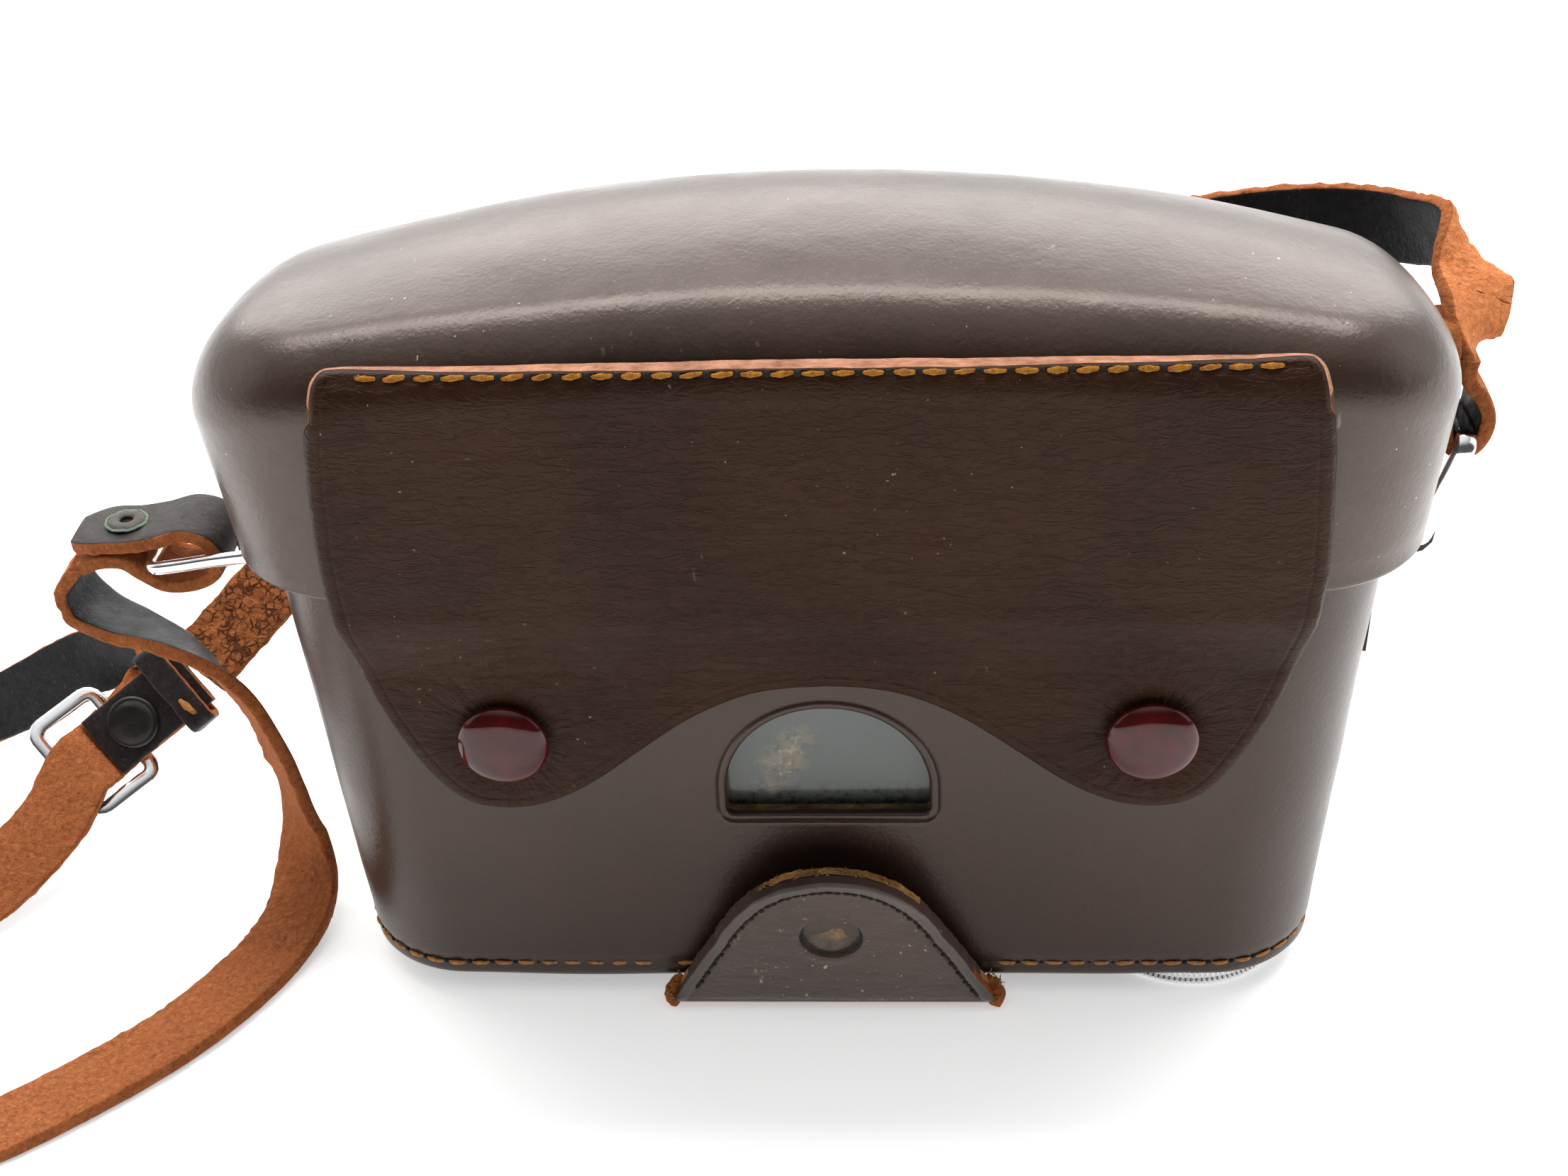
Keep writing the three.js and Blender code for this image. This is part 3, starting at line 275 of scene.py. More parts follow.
def napped(m, height, sheen):
    """The shared nap and sheen of suede surfaces."""
    m.bump(height[0], depth=height[1])
    m.bump(m.noise(0.28, detail=2, rough=0.6), depth=0.14)
    return m.finish(rough=0.96, spec=0.2, sheen=sheen, sheen_rough=0.5,
                    sheen_tint=rgb(220, 150, 100))


def suede(name, light, dark):
    m = Paint(name, dark)
    nap = m.noise(0.75, detail=4, rough=0.72, distort=0.5)
    m.layer(nap.remap(0.3, 0.68), light)
    m.layer(m.noise(4.5, rough=0.6).remap(0.35, 0.7, to=(0, 0.35)), rgb(188, 112, 60))
    shade = m.noise(0.5, rough=0.7, loc=(3, 3, 3))
    m.layer(shade.remap(0.28, 0.36, to=(0.75, 0)), rgb(62, 30, 14))
    pale = m.noise(0.7, detail=2, rough=0.6, loc=(8, 1, 6))
    m.layer(pale.remap(0.7, 0.76, to=(0, 0.5)), rgb(214, 158, 104))
    return napped(m, (nap * 1.0 + m.voronoi(1.15) * -0.45, 0.55), sheen=0.25)


def cracked_suede():
    m = Paint("strap_suede_cracked", rgb(132, 72, 36))
    nap = m.noise(0.8, detail=4, rough=0.72, distort=0.5)
    warped = m.feed(m.node("VectorMath", operation="ADD"), m.mm,
                    m.noise(1.25, rough=0.5, output="Color"))
    lines = m.voronoi(1.25, "DISTANCE_TO_EDGE", source=warped).remap(0.02, 0.13, to=(1, 0))
    crack = lines.masked(m.noise(2.2, detail=2, rough=0.6, loc=(4, 2, 7)).remap(0.38, 0.56))
    m.layer(nap.remap(0.3, 0.68), rgb(184, 112, 64))
    m.layer(crack * 0.85, rgb(62, 32, 14))
    return napped(m, (nap + crack * -1.1, 0.5), sheen=0.2)


def raw_edge(name, light, dark, dirt):
    m = Paint(name, dark)
    m.layer(m.noise(0.9, detail=4, rough=0.7, scale=(0.35, 1, 1)).remap(0.3, 0.7), light)
    stain = m.noise(7, rough=0.6, loc=(7, 0, 2)).remap(0.46, 0.62, to=(0, dirt))
    m.layer(stain, rgb(78, 44, 30))
    m.bump(m.noise(0.35, rough=0.7), depth=0.22)
    return m.finish(rough=0.85, spec=0.25)


def smooth_face(name, dark=rgb(22, 22, 24), light=rgb(38, 37, 39), rough=(0.45, 0.62), weave=0.9):
    """The dyed, smooth side of the strap with its fine pressed grain."""
    m = Paint(name, dark)
    m.layer(m.noise(1.4, detail=4, rough=0.65).remap(0.3, 0.7), light)
    lines = m.noise(0.5, rough=0.7, scale=(1, 1, 0.4))
    m.layer(lines.remap(0.62, 0.72, to=(0, 0.35)), rgb(112, 106, 102))
    m.bump(m.voronoi(0.5) * -0.6 + lines, depth=0.09 * weave)
    m.bump(m.noise(3.0, detail=2, rough=0.5), depth=0.2, strength=0.6)
    return m.finish(rough=m.noise(3, rough=0.6).remap(0.3, 0.7, to=rough), spec=0.22)


def metal(name, color=(0.83, 0.84, 0.85), rough=(0.06, 0.16), tint=None, scratch=0.5, dark=0.0):
    m = Paint(name, color)
    cloud = m.noise(3.5, detail=4, rough=0.65).remap(0.4, 0.75, to=(0, 0.5 if tint else 0.12))
    m.layer(cloud, tint or scaled(color, 0.7))
    lines = m.noise(0.8, rough=0.6, scale=(0.12, 1, 1), rot=(0.3, 0.2, 0.4))
    tarnish = m.noise(0.9, rough=0.7, loc=(2, 5, 7)).remap(0.66, 0.74, to=(0, dark))
    m.layer(tarnish, rgb(40, 38, 34))
    m.bump(lines, depth=0.012 * scratch)
    return m.finish(metal=1.0, rough=m.noise(2.0, rough=0.6).remap(0.3, 0.7, to=rough))


def plain(name, color, rough, metal=0.0, grain=0.3, size=0.6, light=1.3):
    """One colour, mottled up to light times brighter; size is the grain's in mm."""
    m = Paint(name, color)
    m.layer(m.noise(size * 6, rough=0.6).remap(0.35, 0.7), scaled(color, light))
    dark_spots = m.noise(size * 1.4, rough=0.7, loc=(4, 4, 4)).remap(0.68, 0.78, to=(0, 0.4))
    m.layer(dark_spots, scaled(color, 0.5))
    m.bump(m.noise(size, rough=0.6), depth=0.06 * grain)
    gloss = m.noise(size * 4, rough=0.6, loc=(1, 2, 3)).remap(0.3, 0.7, to=rough)
    return m.finish(rough=gloss, metal=metal)


def snap_enamel():
    m = Paint("snap_enamel", rgb(54, 7, 7))
    m.layer(m.noise(3.2, rough=0.6).remap(0.35, 0.7), rgb(78, 11, 10))
    specks = m.noise(0.6, detail=2, rough=0.6, loc=(3, 8, 1))
    m.layer(specks.remap(0.70, 0.76, to=(0, 0.5)), rgb(40, 8, 8))
    m.bump(m.noise(1.8, detail=2, rough=0.5), depth=0.035, strength=0.6)
    gloss = m.noise(2.4, rough=0.6).remap(0.3, 0.7, to=(0.05, 0.12))
    return m.finish(rough=gloss, spec=0.25, coat=0.28, coat_rough=0.03)


def window_sheet():
    """Aged clear sheet: grey, glossy, with a dried blot left of the middle and a dirty base."""
    m = Paint("window_sheet", rgb(66, 70, 66))
    x, _, z = m.xyz()
    m.layer(z.remap(34, 53), rgb(84, 90, 86))
    # a slanted oval about x -6, z 42
    across = (x + 6.0) / 4.2
    along_slant = (z - 42.0 - (x + 6.0) * 0.75) / 4.6
    oval = across * across + along_slant * along_slant
    blot = oval.remap(0.25, 1.5, to=(1, 0)).masked(
        m.noise(2.6, detail=4, rough=0.7).remap(0.42, 0.56))
    m.layer(blot * 0.62, rgb(140, 126, 104))
    core = oval.remap(0.0, 0.8, to=(1, 0)).masked(
        m.noise(1.1, rough=0.6, loc=(6, 2, 1)).remap(0.56, 0.62))
    m.layer(core * 0.75, rgb(164, 156, 136))
    grime = z.remap(36.2, 38.6, to=(1, 0)).masked(
        m.noise(1.2, detail=4, rough=0.7, loc=(1, 1, 9)).remap(0.5, 0.66))
    m.layer(grime, rgb(34, 34, 28))
    fleck = m.noise(0.8, rough=0.7, loc=(2, 9, 4)).remap(0.62, 0.72, to=(0, 0.35))
    m.layer(fleck, rgb(60, 62, 58))
    m.bump(m.noise(6, detail=2, rough=0.5), depth=0.12, strength=0.5)
    m.bump(blot * m.noise(0.9, rough=0.6), depth=0.12)
    gloss = m.noise(4, rough=0.6).remap(0.3, 0.7, to=(0.16, 0.28)) + blot * 0.3
    return m.finish(rough=gloss, spec=0.5, coat=0.3, coat_rough=0.08)


def rivet_face():
    m = Paint("rivet_face", rgb(74, 66, 58))
    x, _, z = m.xyz()
    across = (x - 0.4) / 2.2
    upward = (z - 17.3) / 1.7
    oval = across * across + upward * upward
    core = oval.remap(0.1, 1.3, to=(1, 0)).masked(
        m.noise(1.1, rough=0.65).remap(0.38, 0.6, to=(0.15, 1)))
    m.layer(m.noise(1.6, rough=0.6).remap(0.35, 0.7), rgb(104, 94, 82))
    m.layer(core, rgb(150, 118, 74))
    m.bump(m.noise(0.7, rough=0.6), depth=0.05)
    return m.finish(metal=0.55, rough=m.noise(1.4, rough=0.6).remap(0.3, 0.7, to=(0.38, 0.55)))


def leatherette():
    m = Paint("leatherette", rgb(30, 29, 29))
    cells = m.voronoi(0.9, "SMOOTH_F1")
    m.layer(cells.remap(0.1, 0.6), rgb(16, 16, 16))
    m.layer(m.noise(6, rough=0.6).remap(0.55, 0.75, to=(0, 0.4)), rgb(44, 42, 40))
    m.bump(cells * -1.0, depth=0.3)
    return m.finish(rough=m.noise(2, rough=0.6).remap(0.3, 0.7, to=(0.5, 0.68)))


def glass(name, tint):
    m = Paint(name, tint)
    m.layer(m.noise(5, detail=2, rough=0.5).remap(0.35, 0.65), scaled(tint, 1.25))
    dust = m.noise(0.5, detail=2, rough=0.6, loc=(3, 1, 2)).remap(0.72, 0.78, to=(0, 0.4))
    m.layer(dust, rgb(150, 150, 146))
    gloss = m.noise(3, rough=0.6).remap(0.3, 0.7, to=(0.03, 0.09)) + dust * 0.5
    return m.finish(rough=gloss, spec=0.7, coat=1.0, coat_rough=0.03)


# leather of the case
M_SHELL = leather("case_leather", rgb(36, 25, 21), rgb(46, 32, 27), rough=(0.29, 0.36),
                  grain=0.8, scuff=0.0, plainer=True)
M_LID = leather("lid_leather", rgb(38, 27, 22), rgb(54, 38, 31), rough=(0.29, 0.36), grain=0.8,
                scuff=0.8, spec=0.62)
M_FLAP = leather("flap_leather", rgb(34, 17, 8), rgb(47, 25, 11), rough=(0.4, 0.5), grain=1.0,
                 crease=0.75, pull=True, spec=0.16, tint=(1.0, 0.8, 0.66))
M_TAB = leather("tab_leather", rgb(44, 33, 29), rgb(62, 48, 42), rough=(0.28, 0.4), grain=0.6,
                crease=0.5, scuff=1.8, spec=0.65, specks=0.70)
M_BEAD = leather("tab_bead", rgb(62, 56, 54), rgb(84, 78, 76), grain=0.4, scuff=1.0)
M_TAB_EDGE = leather("tab_cut_edge", rgb(52, 38, 35), rgb(74, 56, 52), rough=(0.45, 0.6),
                     grain=0.8, scuff=0.8)
M_LUG = leather("lug_leather", rgb(30, 22, 19), rgb(44, 32, 27), rough=(0.4, 0.52), grain=0.8,
                scuff=0.4, spec=0.35)
M_BOTTOM = leather("bottom_strip_leather", rgb(44, 30, 25), rgb(60, 42, 34), rough=(0.4, 0.52),
                   grain=0.6, scuff=0.8)
M_INSIDE = suede("case_lining", rgb(120, 84, 58), rgb(84, 56, 38))
# cut and torn edges
M_RAW = raw_edge("raw_edge_tan", rgb(206, 152, 122), rgb(150, 96, 70), dirt=0.35)
M_RAW_DARK = raw_edge("raw_edge_dark", rgb(128, 88, 58), rgb(62, 38, 28), dirt=0.8)
M_WINDOW_CUT = raw_edge("window_cut_edge", rgb(128, 112, 62), rgb(46, 40, 30), dirt=0.9)
M_FIBRE = raw_edge("raw_fibre_tan", rgb(206, 160, 96), rgb(150, 98, 52), dirt=0.5)
M_TORN = raw_edge("raw_torn_orange", rgb(196, 112, 50), rgb(128, 62, 26), dirt=0.45)
# strap and thread
M_SUEDE = suede("strap_suede", rgb(186, 112, 68), rgb(134, 72, 38))
M_SUEDE_CRACKED = cracked_suede()
# painted light: a brighter copy of the strap suede, standing in for the side lamp on the right
# strap
M_SUEDE_PAINTED_LIT = suede("strap_suede_painted_lit", rgb(226, 142, 88), rgb(178, 98, 52))
M_STRAP_EDGE = suede("strap_edge", rgb(166, 94, 50), rgb(112, 58, 28))
M_SMOOTH = smooth_face("strap_smooth")
M_SMOOTH_END = smooth_face("strap_end_smooth", rgb(30, 24, 22), rgb(48, 40, 37),
                           rough=(0.5, 0.62), weave=0.4)
M_BUCKLE = smooth_face("buckle_leather", rgb(26, 22, 23), rgb(44, 38, 38), rough=(0.38, 0.52),
                       weave=0.8)
M_THREAD = suede("thread_tan", rgb(204, 150, 88), rgb(158, 104, 52))
M_THREAD_TOP = suede("thread_mustard", rgb(186, 128, 36), rgb(120, 74, 20))
M_THREAD_DARK = plain("thread_dark", rgb(40, 26, 22), rough=(0.6, 0.8), grain=1.5, size=0.3)
# near-black pits: painted shade inside stitch holes and the eyelets' holes
M_HOLE_SHADE = plain("stitch_hole_painted_shade", rgb(12, 9, 8), rough=(0.9, 1.0), grain=1.0, size=0.3)
# fittings of the case
M_CHROME = metal("chrome")
M_KNURL = metal("knurled_chrome", (0.8, 0.81, 0.82), rough=(0.14, 0.26), scratch=1.0, dark=0.25)
M_STUD = metal("stud_steel", (0.62, 0.61, 0.58), rough=(0.2, 0.35), tint=rgb(120, 110, 90),
               scratch=1.0, dark=0.3)
M_RIVET = metal("aged_rivet", (0.20, 0.17, 0.14), rough=(0.32, 0.55), tint=rgb(96, 78, 52),
                scratch=2.0, dark=0.5)
M_DISC = plain("dark_disc", rgb(34, 30, 30), rough=(0.22, 0.4), metal=0.3, grain=0.6, size=0.8)
M_EYELET = plain("tarnished_eyelet", rgb(58, 54, 48), rough=(0.5, 0.7), metal=0.35, size=0.15,
                 light=1.4)
M_BLOOM = plain("green_bloom", rgb(86, 104, 88), rough=(0.7, 0.9), grain=2.0, size=0.35,
                light=1.6)
M_RIVET_FACE = rivet_face()
# dark green crust ring round the tab rivet: partly real crust, partly painted shade of the recess's
# rim
M_RIVET_CRUST_AND_SHADE = plain("rivet_crust_and_painted_shade", rgb(12, 30, 27), rough=(0.35, 0.6), metal=0.2,
                     grain=2.0, size=0.4, light=1.9)
M_SNAP = snap_enamel()
M_WINDOW = window_sheet()
# camera
M_ALLOY = metal("camera_alloy", (0.62, 0.63, 0.64), rough=(0.28, 0.42), scratch=1.2, dark=0.2)
M_SATIN = metal("satin_chrome", (0.72, 0.72, 0.71), rough=(0.22, 0.34), scratch=1.0, dark=0.15)
M_BRASS = metal("cassette_lacquer", (0.70, 0.48, 0.14), rough=(0.25, 0.4),
                tint=(0.5, 0.34, 0.1), scratch=0.8, dark=0.2)
M_PAINT = plain("black_paint", rgb(24, 24, 25), rough=(0.4, 0.55), grain=0.8, size=0.35,
                light=1.4)
M_MATT = plain("matt_black", rgb(15, 15, 16), rough=(0.7, 0.85), grain=1.2, size=0.3)
M_SPOOL = plain("spool_plastic", rgb(20, 19, 19), rough=(0.3, 0.45), grain=0.5, size=0.5)
M_DIAL = plain("dial_ivory", rgb(214, 208, 190), rough=(0.35, 0.5), size=0.4, light=1.06)
M_LEATHERETTE = leatherette()
M_LENS = glass("coated_lens", (0.02, 0.03, 0.06))
M_FINDER = glass("finder_glass", (0.06, 0.075, 0.085))


# ---------------------------------------------------------------- number helpers
def field(points, size, seed):
    """Smooth random field over points in mm, about -1 to 1, with features near size mm."""
    count = 18
    random = np.random.default_rng(seed)
    waves = unit(random.normal(size=(count, 3)))
    waves *= (2 * np.pi / size) * random.uniform(0.55, 1.5, count)[:, None]
    phases = random.uniform(0, 2 * np.pi, count)
    return np.cos(np.asarray(points, float) @ waves.T + phases).sum(1) / math.sqrt(count * 2.0)


def unit(vectors):
    return vectors / np.linalg.norm(vectors, axis=-1, keepdims=True)


def smooth(t):
    t = np.clip(t, 0, 1)
    return t * t * (3 - 2 * t)


def hump(offset, width):
    """A bell curve, 1 where offset is 0."""
    return np.exp(-((offset / width) ** 2))


def fade(distance, width, power=2.0):
    """1 at distance 0, falling to 0 at width."""
    return (1 - np.clip(distance / width, 0, 1)) ** power


def polar(verts):
    """Radius and angle about local Z."""
    return np.hypot(verts[:, 0], verts[:, 1]), np.arctan2(verts[:, 1], verts[:, 0])


def arc_lengths(points):
    steps = np.linalg.norm(np.diff(points, axis=0), axis=1)
    return np.concatenate([[0], np.cumsum(steps)])


def along(rows, spots, lengths):
    """The rows interpolated at spots, where lengths gives each row's place."""
    return np.stack([np.interp(spots, lengths, column) for column in rows.T], -1)


def resample(points, step, closed=False):
    points = np.asarray(points, float)
    if closed:
        points = np.vstack([points, points[:1]])
    lengths = arc_lengths(points)
    count = max(3, int(round(lengths[-1] / step)))
    result = along(points, np.linspace(0, lengths[-1], count + 1), lengths)
    return result[:-1] if closed else result


def catmull(points, knots):
    """Centripetal spline through points, at knots from 0 to len(points) - 1."""
    points = np.asarray(points, float)
    last = len(points) - 1
    result = []
    for knot in knots:
        k = min(int(math.floor(knot)), last - 1)
        t = knot - k
        here, after = points[k], points[k + 1]
        before = points[k - 1] if k > 0 else 2 * points[0] - points[1]
        beyond = points[k + 2] if k + 2 <= last else 2 * points[-1] - points[-2]
        gap0, gap1, gap2 = (
            max(np.linalg.norm(end - start), 1e-6) ** 0.5
            for start, end in ((before, here), (here, after), (after, beyond)))
        slope0 = ((here - before) / gap0 - (after - before) / (gap0 + gap1)
                  + (after - here) / gap1) * gap1
        slope1 = ((after - here) / gap1 - (beyond - here) / (gap1 + gap2)
                  + (beyond - after) / gap2) * gap1
        result.append((2 * t**3 - 3 * t**2 + 1) * here + (t**3 - 2 * t**2 + t) * slope0
                      + (-2 * t**3 + 3 * t**2) * after + (t**3 - t**2) * slope1)
    return np.array(result)


# ---------------------------------------------------------------- mesh helpers
def volume(verts, faces):
    verts = np.asarray(verts, float)
    fans = [(f[0], f[i], f[i + 1]) for f in faces for i in range(1, len(f) - 1)]
    first, second, third = (verts[column] for column in np.array(fans).T)
    return float(np.einsum("ij,ij->i", first, np.cross(second, third)).sum() / 6)


def outward(verts, faces):
    """The faces, turned if they face inward."""
    return [f[::-1] for f in faces] if volume(verts, faces) < 0 else faces


def add(name, verts, faces, mats, kinds=None, body=None, replaces=(), sharp=38,
        orient=True, push=None):
    """Make an object. kinds picks each face's material; push moves points along their normals."""
    verts = np.asarray(verts, float)
    faces = [tuple(int(i) for i in f) for f in faces]
    if orient:
        faces = outward(verts, faces)
    mesh = bpy.data.meshes.new(name)
    mesh.from_pydata((verts * MM).tolist(), [], faces)
    for mat in mats if isinstance(mats, list) else [mats]:
        mesh.materials.append(mat)
    if kinds is not None:
        mesh.polygons.foreach_set("material_index", np.asarray(kinds, np.int32))
    mesh.polygons.foreach_set("use_smooth", [True] * len(mesh.polygons))
    mesh.update()
    if push is not None:
        normals = np.zeros(len(verts) * 3, np.float32)
        mesh.vertices.foreach_get("normal", normals)
        moved = verts + normals.reshape(-1, 3) * np.asarray(push)[:, None]
        mesh.vertices.foreach_set("co", (moved * MM).astype(np.float32).ravel())
        mesh.update()
    if sharp:
        mesh.set_sharp_from_angle(angle=math.radians(sharp))
    piece = bpy.data.objects.new(name, mesh)
    bpy.context.scene.collection.objects.link(piece)
    if body:
        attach(piece, body)
    if replaces:
        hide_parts(*replaces)
    return piece


def merge(parts):
    """Join (verts, faces, kind) parts into one set of verts, faces and kinds."""
    verts, faces, kinds, offset = [], [], [], 0
    for part_verts, part_faces, kind in parts:
        verts.append(part_verts)
        faces += [tuple(i + offset for i in f) for f in part_faces]
        kinds += [kind] * len(part_faces)
        offset += len(part_verts)
    return np.concatenate(verts), faces, kinds


def at_height(outline, z):
    return np.column_stack([outline[:, 0], outline[:, 1], np.full(len(outline), z)])


def ring(half_width, front_y, back_y, front_r, back_r, front_spots, corner=18, side=8):
    """Rounded rectangle from above, counter-clockwise: rows of x, y and outward direction.

    front_spots are places along the front from -1 to 1; corner and side are segment counts."""
    rows = []

    def arc(x, y, radius, start):
        for i in range(corner + 1):
            angle = math.radians(start + 90 * i / corner)
            nx, ny = math.cos(angle), math.sin(angle)
            rows.append((x + radius * nx, y + radius * ny, nx, ny))

    def line(x0, y0, x1, y1, direction, shares):
        for share in shares:
            rows.append((x0 + (x1 - x0) * share, y0 + (y1 - y0) * share, *direction))

    sides = [i / side for i in range(1, side)]
    front_x, back_x = half_width - front_r, half_width - back_r
    low_y, high_y = front_y + front_r, back_y - back_r
    arc(front_x, low_y, front_r, -90)
    line(half_width, low_y, half_width, high_y, (1, 0), sides)
    arc(back_x, high_y, back_r, 0)
    line(back_x, back_y, -back_x, back_y, (0, 1), [i / 60 for i in range(1, 60)])
    arc(-back_x, high_y, back_r, 90)
    line(-half_width, high_y, -half_width, low_y, (-1, 0), sides)
    arc(-front_x, low_y, front_r, 180)
    line(-front_x, front_y, front_x, front_y, (0, -1), [(v + 1) / 2 for v in front_spots])
    return np.array(rows)


def rounded(half_width, half_height, radius, steps):
    """Rounded rectangle's corners: rows of x, y and outward direction."""
    rows = []
    for sx, sy, start in ((1, 1, 0), (-1, 1, 90), (-1, -1, 180), (1, -1, 270)):
        for i in range(steps + 1):
            angle = math.radians(start + 90 * i / steps)
            nx, ny = math.cos(angle), math.sin(angle)
            rows.append((sx * (half_width - radius) + radius * nx,
                         sy * (half_height - radius) + radius * ny, nx, ny))
    return np.array(rows)


def skin(rows, start, end):
    """Quads between closed rows of equal count, with fans to the points start and end."""
    n = len(rows[0])
    faces = []
    for k in range(len(rows) - 1):
        p, q = k * n, (k + 1) * n
        faces += [(p + i, p + (i + 1) % n, q + (i + 1) % n, q + i) for i in range(n)]
    total = len(rows) * n
    last = total - n
    faces += [(total, (i + 1) % n, i) for i in range(n)]
    faces += [(total + 1, last + i, last + (i + 1) % n) for i in range(n)]
    return np.concatenate([*rows, [start], [end]]).astype(float), faces


def tube_faces(rows, sides, closed=False):
    """Quads round a tube; its ends are capped, or joined when closed."""
    faces = []
    for i in range(rows if closed else rows - 1):
        p, q = i * sides, (i + 1) % rows * sides
        for k in range(sides):
            j = (k + 1) % sides
            faces.append((p + k, q + k, q + j, p + j))
    if not closed:
        faces.append(tuple(range(sides)))
        faces.append(tuple((rows - 1) * sides + k for k in range(sides))[::-1])
    return faces


def revolve(profile, segments):
    """Solid of revolution about local Z from (radius, height) rows that end on the axis."""
    verts, faces, loops = [], [], []
    for radius, height in profile:
        count = segments if radius else 1
        loops.append(range(len(verts), len(verts) + count))
        for i in range(count):
            angle = 2 * math.pi * i / segments
            verts.append((radius * math.cos(angle), radius * math.sin(angle), height))
    for low, high in zip(loops[:-1], loops[1:]):
        for i in range(segments):
            j = (i + 1) % segments
            if len(low) == 1:
                faces.append((low[0], high[i], high[j]))
            elif len(high) == 1:
                faces.append((low[i], high[0], low[j]))
            else:
                faces.append((low[i], high[i], high[j], low[j]))
    return np.array(verts, float), faces


def lathe(profile, segments=48):
    """Ring body about local Z from a closed profile of (radius, height)."""
    angles = [2 * math.pi * i / segments for i in range(segments)]
    verts = np.array([(r * math.cos(a), r * math.sin(a), h) for a in angles for r, h in profile])
    return verts, outward(verts, tube_faces(segments, len(profile), closed=True))


def basis(verts, x_axis, y_axis, z_axis, origin):
    """Place local verts on three axes."""
    axes = np.array([x_axis, y_axis, z_axis], float)
    return np.asarray(verts, float) @ axes + np.asarray(origin, float)


def edge_distance(points, outline):
    """Distance of 2-D points to a closed polyline."""
    edges = np.roll(outline, -1, 0) - outline
    squares = np.maximum((edges**2).sum(1), 1e-12)
    result = np.empty(len(points))
    for s in range(0, len(points), 2000):
        q = points[s : s + 2000, None, :]
        t = np.clip(((q - outline) * edges).sum(2) / squares, 0, 1)
        away = q - (outline + t[..., None] * edges)
        result[s : s + 2000] = np.sqrt((away**2).sum(2).min(1))
    return result


def inside(points, outline):
    x, y = points[:, 0][:, None], points[:, 1][:, None]
    x0, y0 = outline[:, 0], outline[:, 1]
    x1, y1 = np.roll(x0, -1), np.roll(y0, -1)
    spans = (y0 > y) != (y1 > y)
    with np.errstate(divide="ignore", invalid="ignore"):
        crossing = (x1 - x0) * (y - y0) / (y1 - y0) + x0
    return (np.sum(spans & (x < crossing), axis=1) % 2) == 1


def sheet(outline, insets, step, hub=None):
    """Triangulate a closed outline, with rows of points along its edge and a grid within.

    hub is (x, y, radii, count) for circles of points. Gives points (the outline first),
    triangles and each point's distance to the edge."""
    area = np.sum(outline[:, 0] * np.roll(outline[:, 1], -1)
                  - np.roll(outline[:, 0], -1) * outline[:, 1])
    if area < 0:
        outline = outline[::-1]
    tangent = unit(np.roll(outline, -1, 0) - np.roll(outline, 1, 0))
    inward = np.column_stack([-tangent[:, 1], tangent[:, 0]])
    rows = []
    for inset in insets:
        row = outline + inward * inset
        if inset > 3.0:
            row = row[::2]
        clear_of_edge = edge_distance(row, outline) > inset * 0.985
        rows.append(row[clear_of_edge & inside(row, outline)])
    low, high = outline.min(0), outline.max(0)
    grid_x = np.arange(low[0], high[0], step)
    grid_y = np.arange(low[1], high[1], step * 0.866)
    grid = np.array([(x + (step / 2 if j % 2 else 0), y)
                     for j, y in enumerate(grid_y) for x in grid_x])
    grid = grid[inside(grid, outline)]
    grid = grid[edge_distance(grid, outline) > insets[-1] + step * 0.55]
    if hub:
        hub_x, hub_y, radii, count = hub
        from_hub = lambda q: np.hypot(q[:, 0] - hub_x, q[:, 1] - hub_y)
        clear = max(radii) + step * 0.5
        rows = [row[from_hub(row) > clear] for row in rows]
        grid = grid[(from_hub(grid) > clear) | (from_hub(grid) < min(radii) - step * 0.5)]
        for j, radius in enumerate(radii):
            angle = (np.arange(count) + 0.5 * (j % 2)) * 2 * np.pi / count
            rows.append(np.column_stack([hub_x + radius * np.cos(angle),
                                         hub_y + radius * np.sin(angle)]))
    points = np.concatenate([outline, *rows, grid])
    n = len(outline)
    edges = [(i, (i + 1) % n) for i in range(n)]
    result = mgeo.delaunay_2d_cdt([Vector(p) for p in points.tolist()], edges, [], 1, 1e-7)
    verts = np.array([tuple(v) for v in result[0]])
    return verts, [tuple(f) for f in result[2]], edge_distance(verts, outline)


def thicken(triangles, edge_count, front, back, shares, edge_kind=lambda centre: 2):
    """Closed body between front and back points; shares place the rows round its edge.

    Kinds are 0 on the front, 1 on the back and edge_kind(face centre) on the edge."""
    total = len(front)
    rows = [front[:edge_count] * (1 - k) + back[:edge_count] * k for k in shares]
    verts = np.concatenate([front, back, *rows])
    starts = [0] + [2 * total + i * edge_count for i in range(len(rows))] + [total]
    faces = triangles + [tuple(total + i for i in f[::-1]) for f in triangles]
    kinds = [0] * len(triangles) + [1] * len(triangles)
    for near, far in zip(starts[:-1], starts[1:]):
        for i in range(edge_count):
            j = (i + 1) % edge_count
            face = (near + j, near + i, far + i, far + j)
            faces.append(face)
            kinds.append(edge_kind(verts[list(face)].mean(0)))
    return verts, faces, kinds


def with_zeros(points):
    return np.column_stack([points, np.zeros(len(points))])


# ---------------------------------------------------------------- case shell
WINDOW_HALF = 14.0
WINDOW_BASE, WINDOW_SHOULDER = 34.7, 39.1  # the D's straight base, and where its round starts
BLOCK_HALF, BLOCK_LOW, BLOCK_HIGH = 20, 28.7, 59.2  # patch of the front remeshed round the D
# outside bottom corner: height over the base, inset
FOOT_ROWS = [(0.0, 3.4), (0.12, 2.2), (0.45, 1.2), (0.95, 0.5), (1.65, 0.12)]
# collar that stands inside the lid, up the outside and over its top: inset, z
COLLAR_ROWS = [(0.0, 73.4), (0.0, 78.0), (0.0, 83.2), (0.35, 83.85), (0.95, 84.0), (1.55, 83.85),
               (1.9, 83.2)]
INSIDE_ROWS = [72.6, 50.0, 20.0, 6.4]  # z down the inside
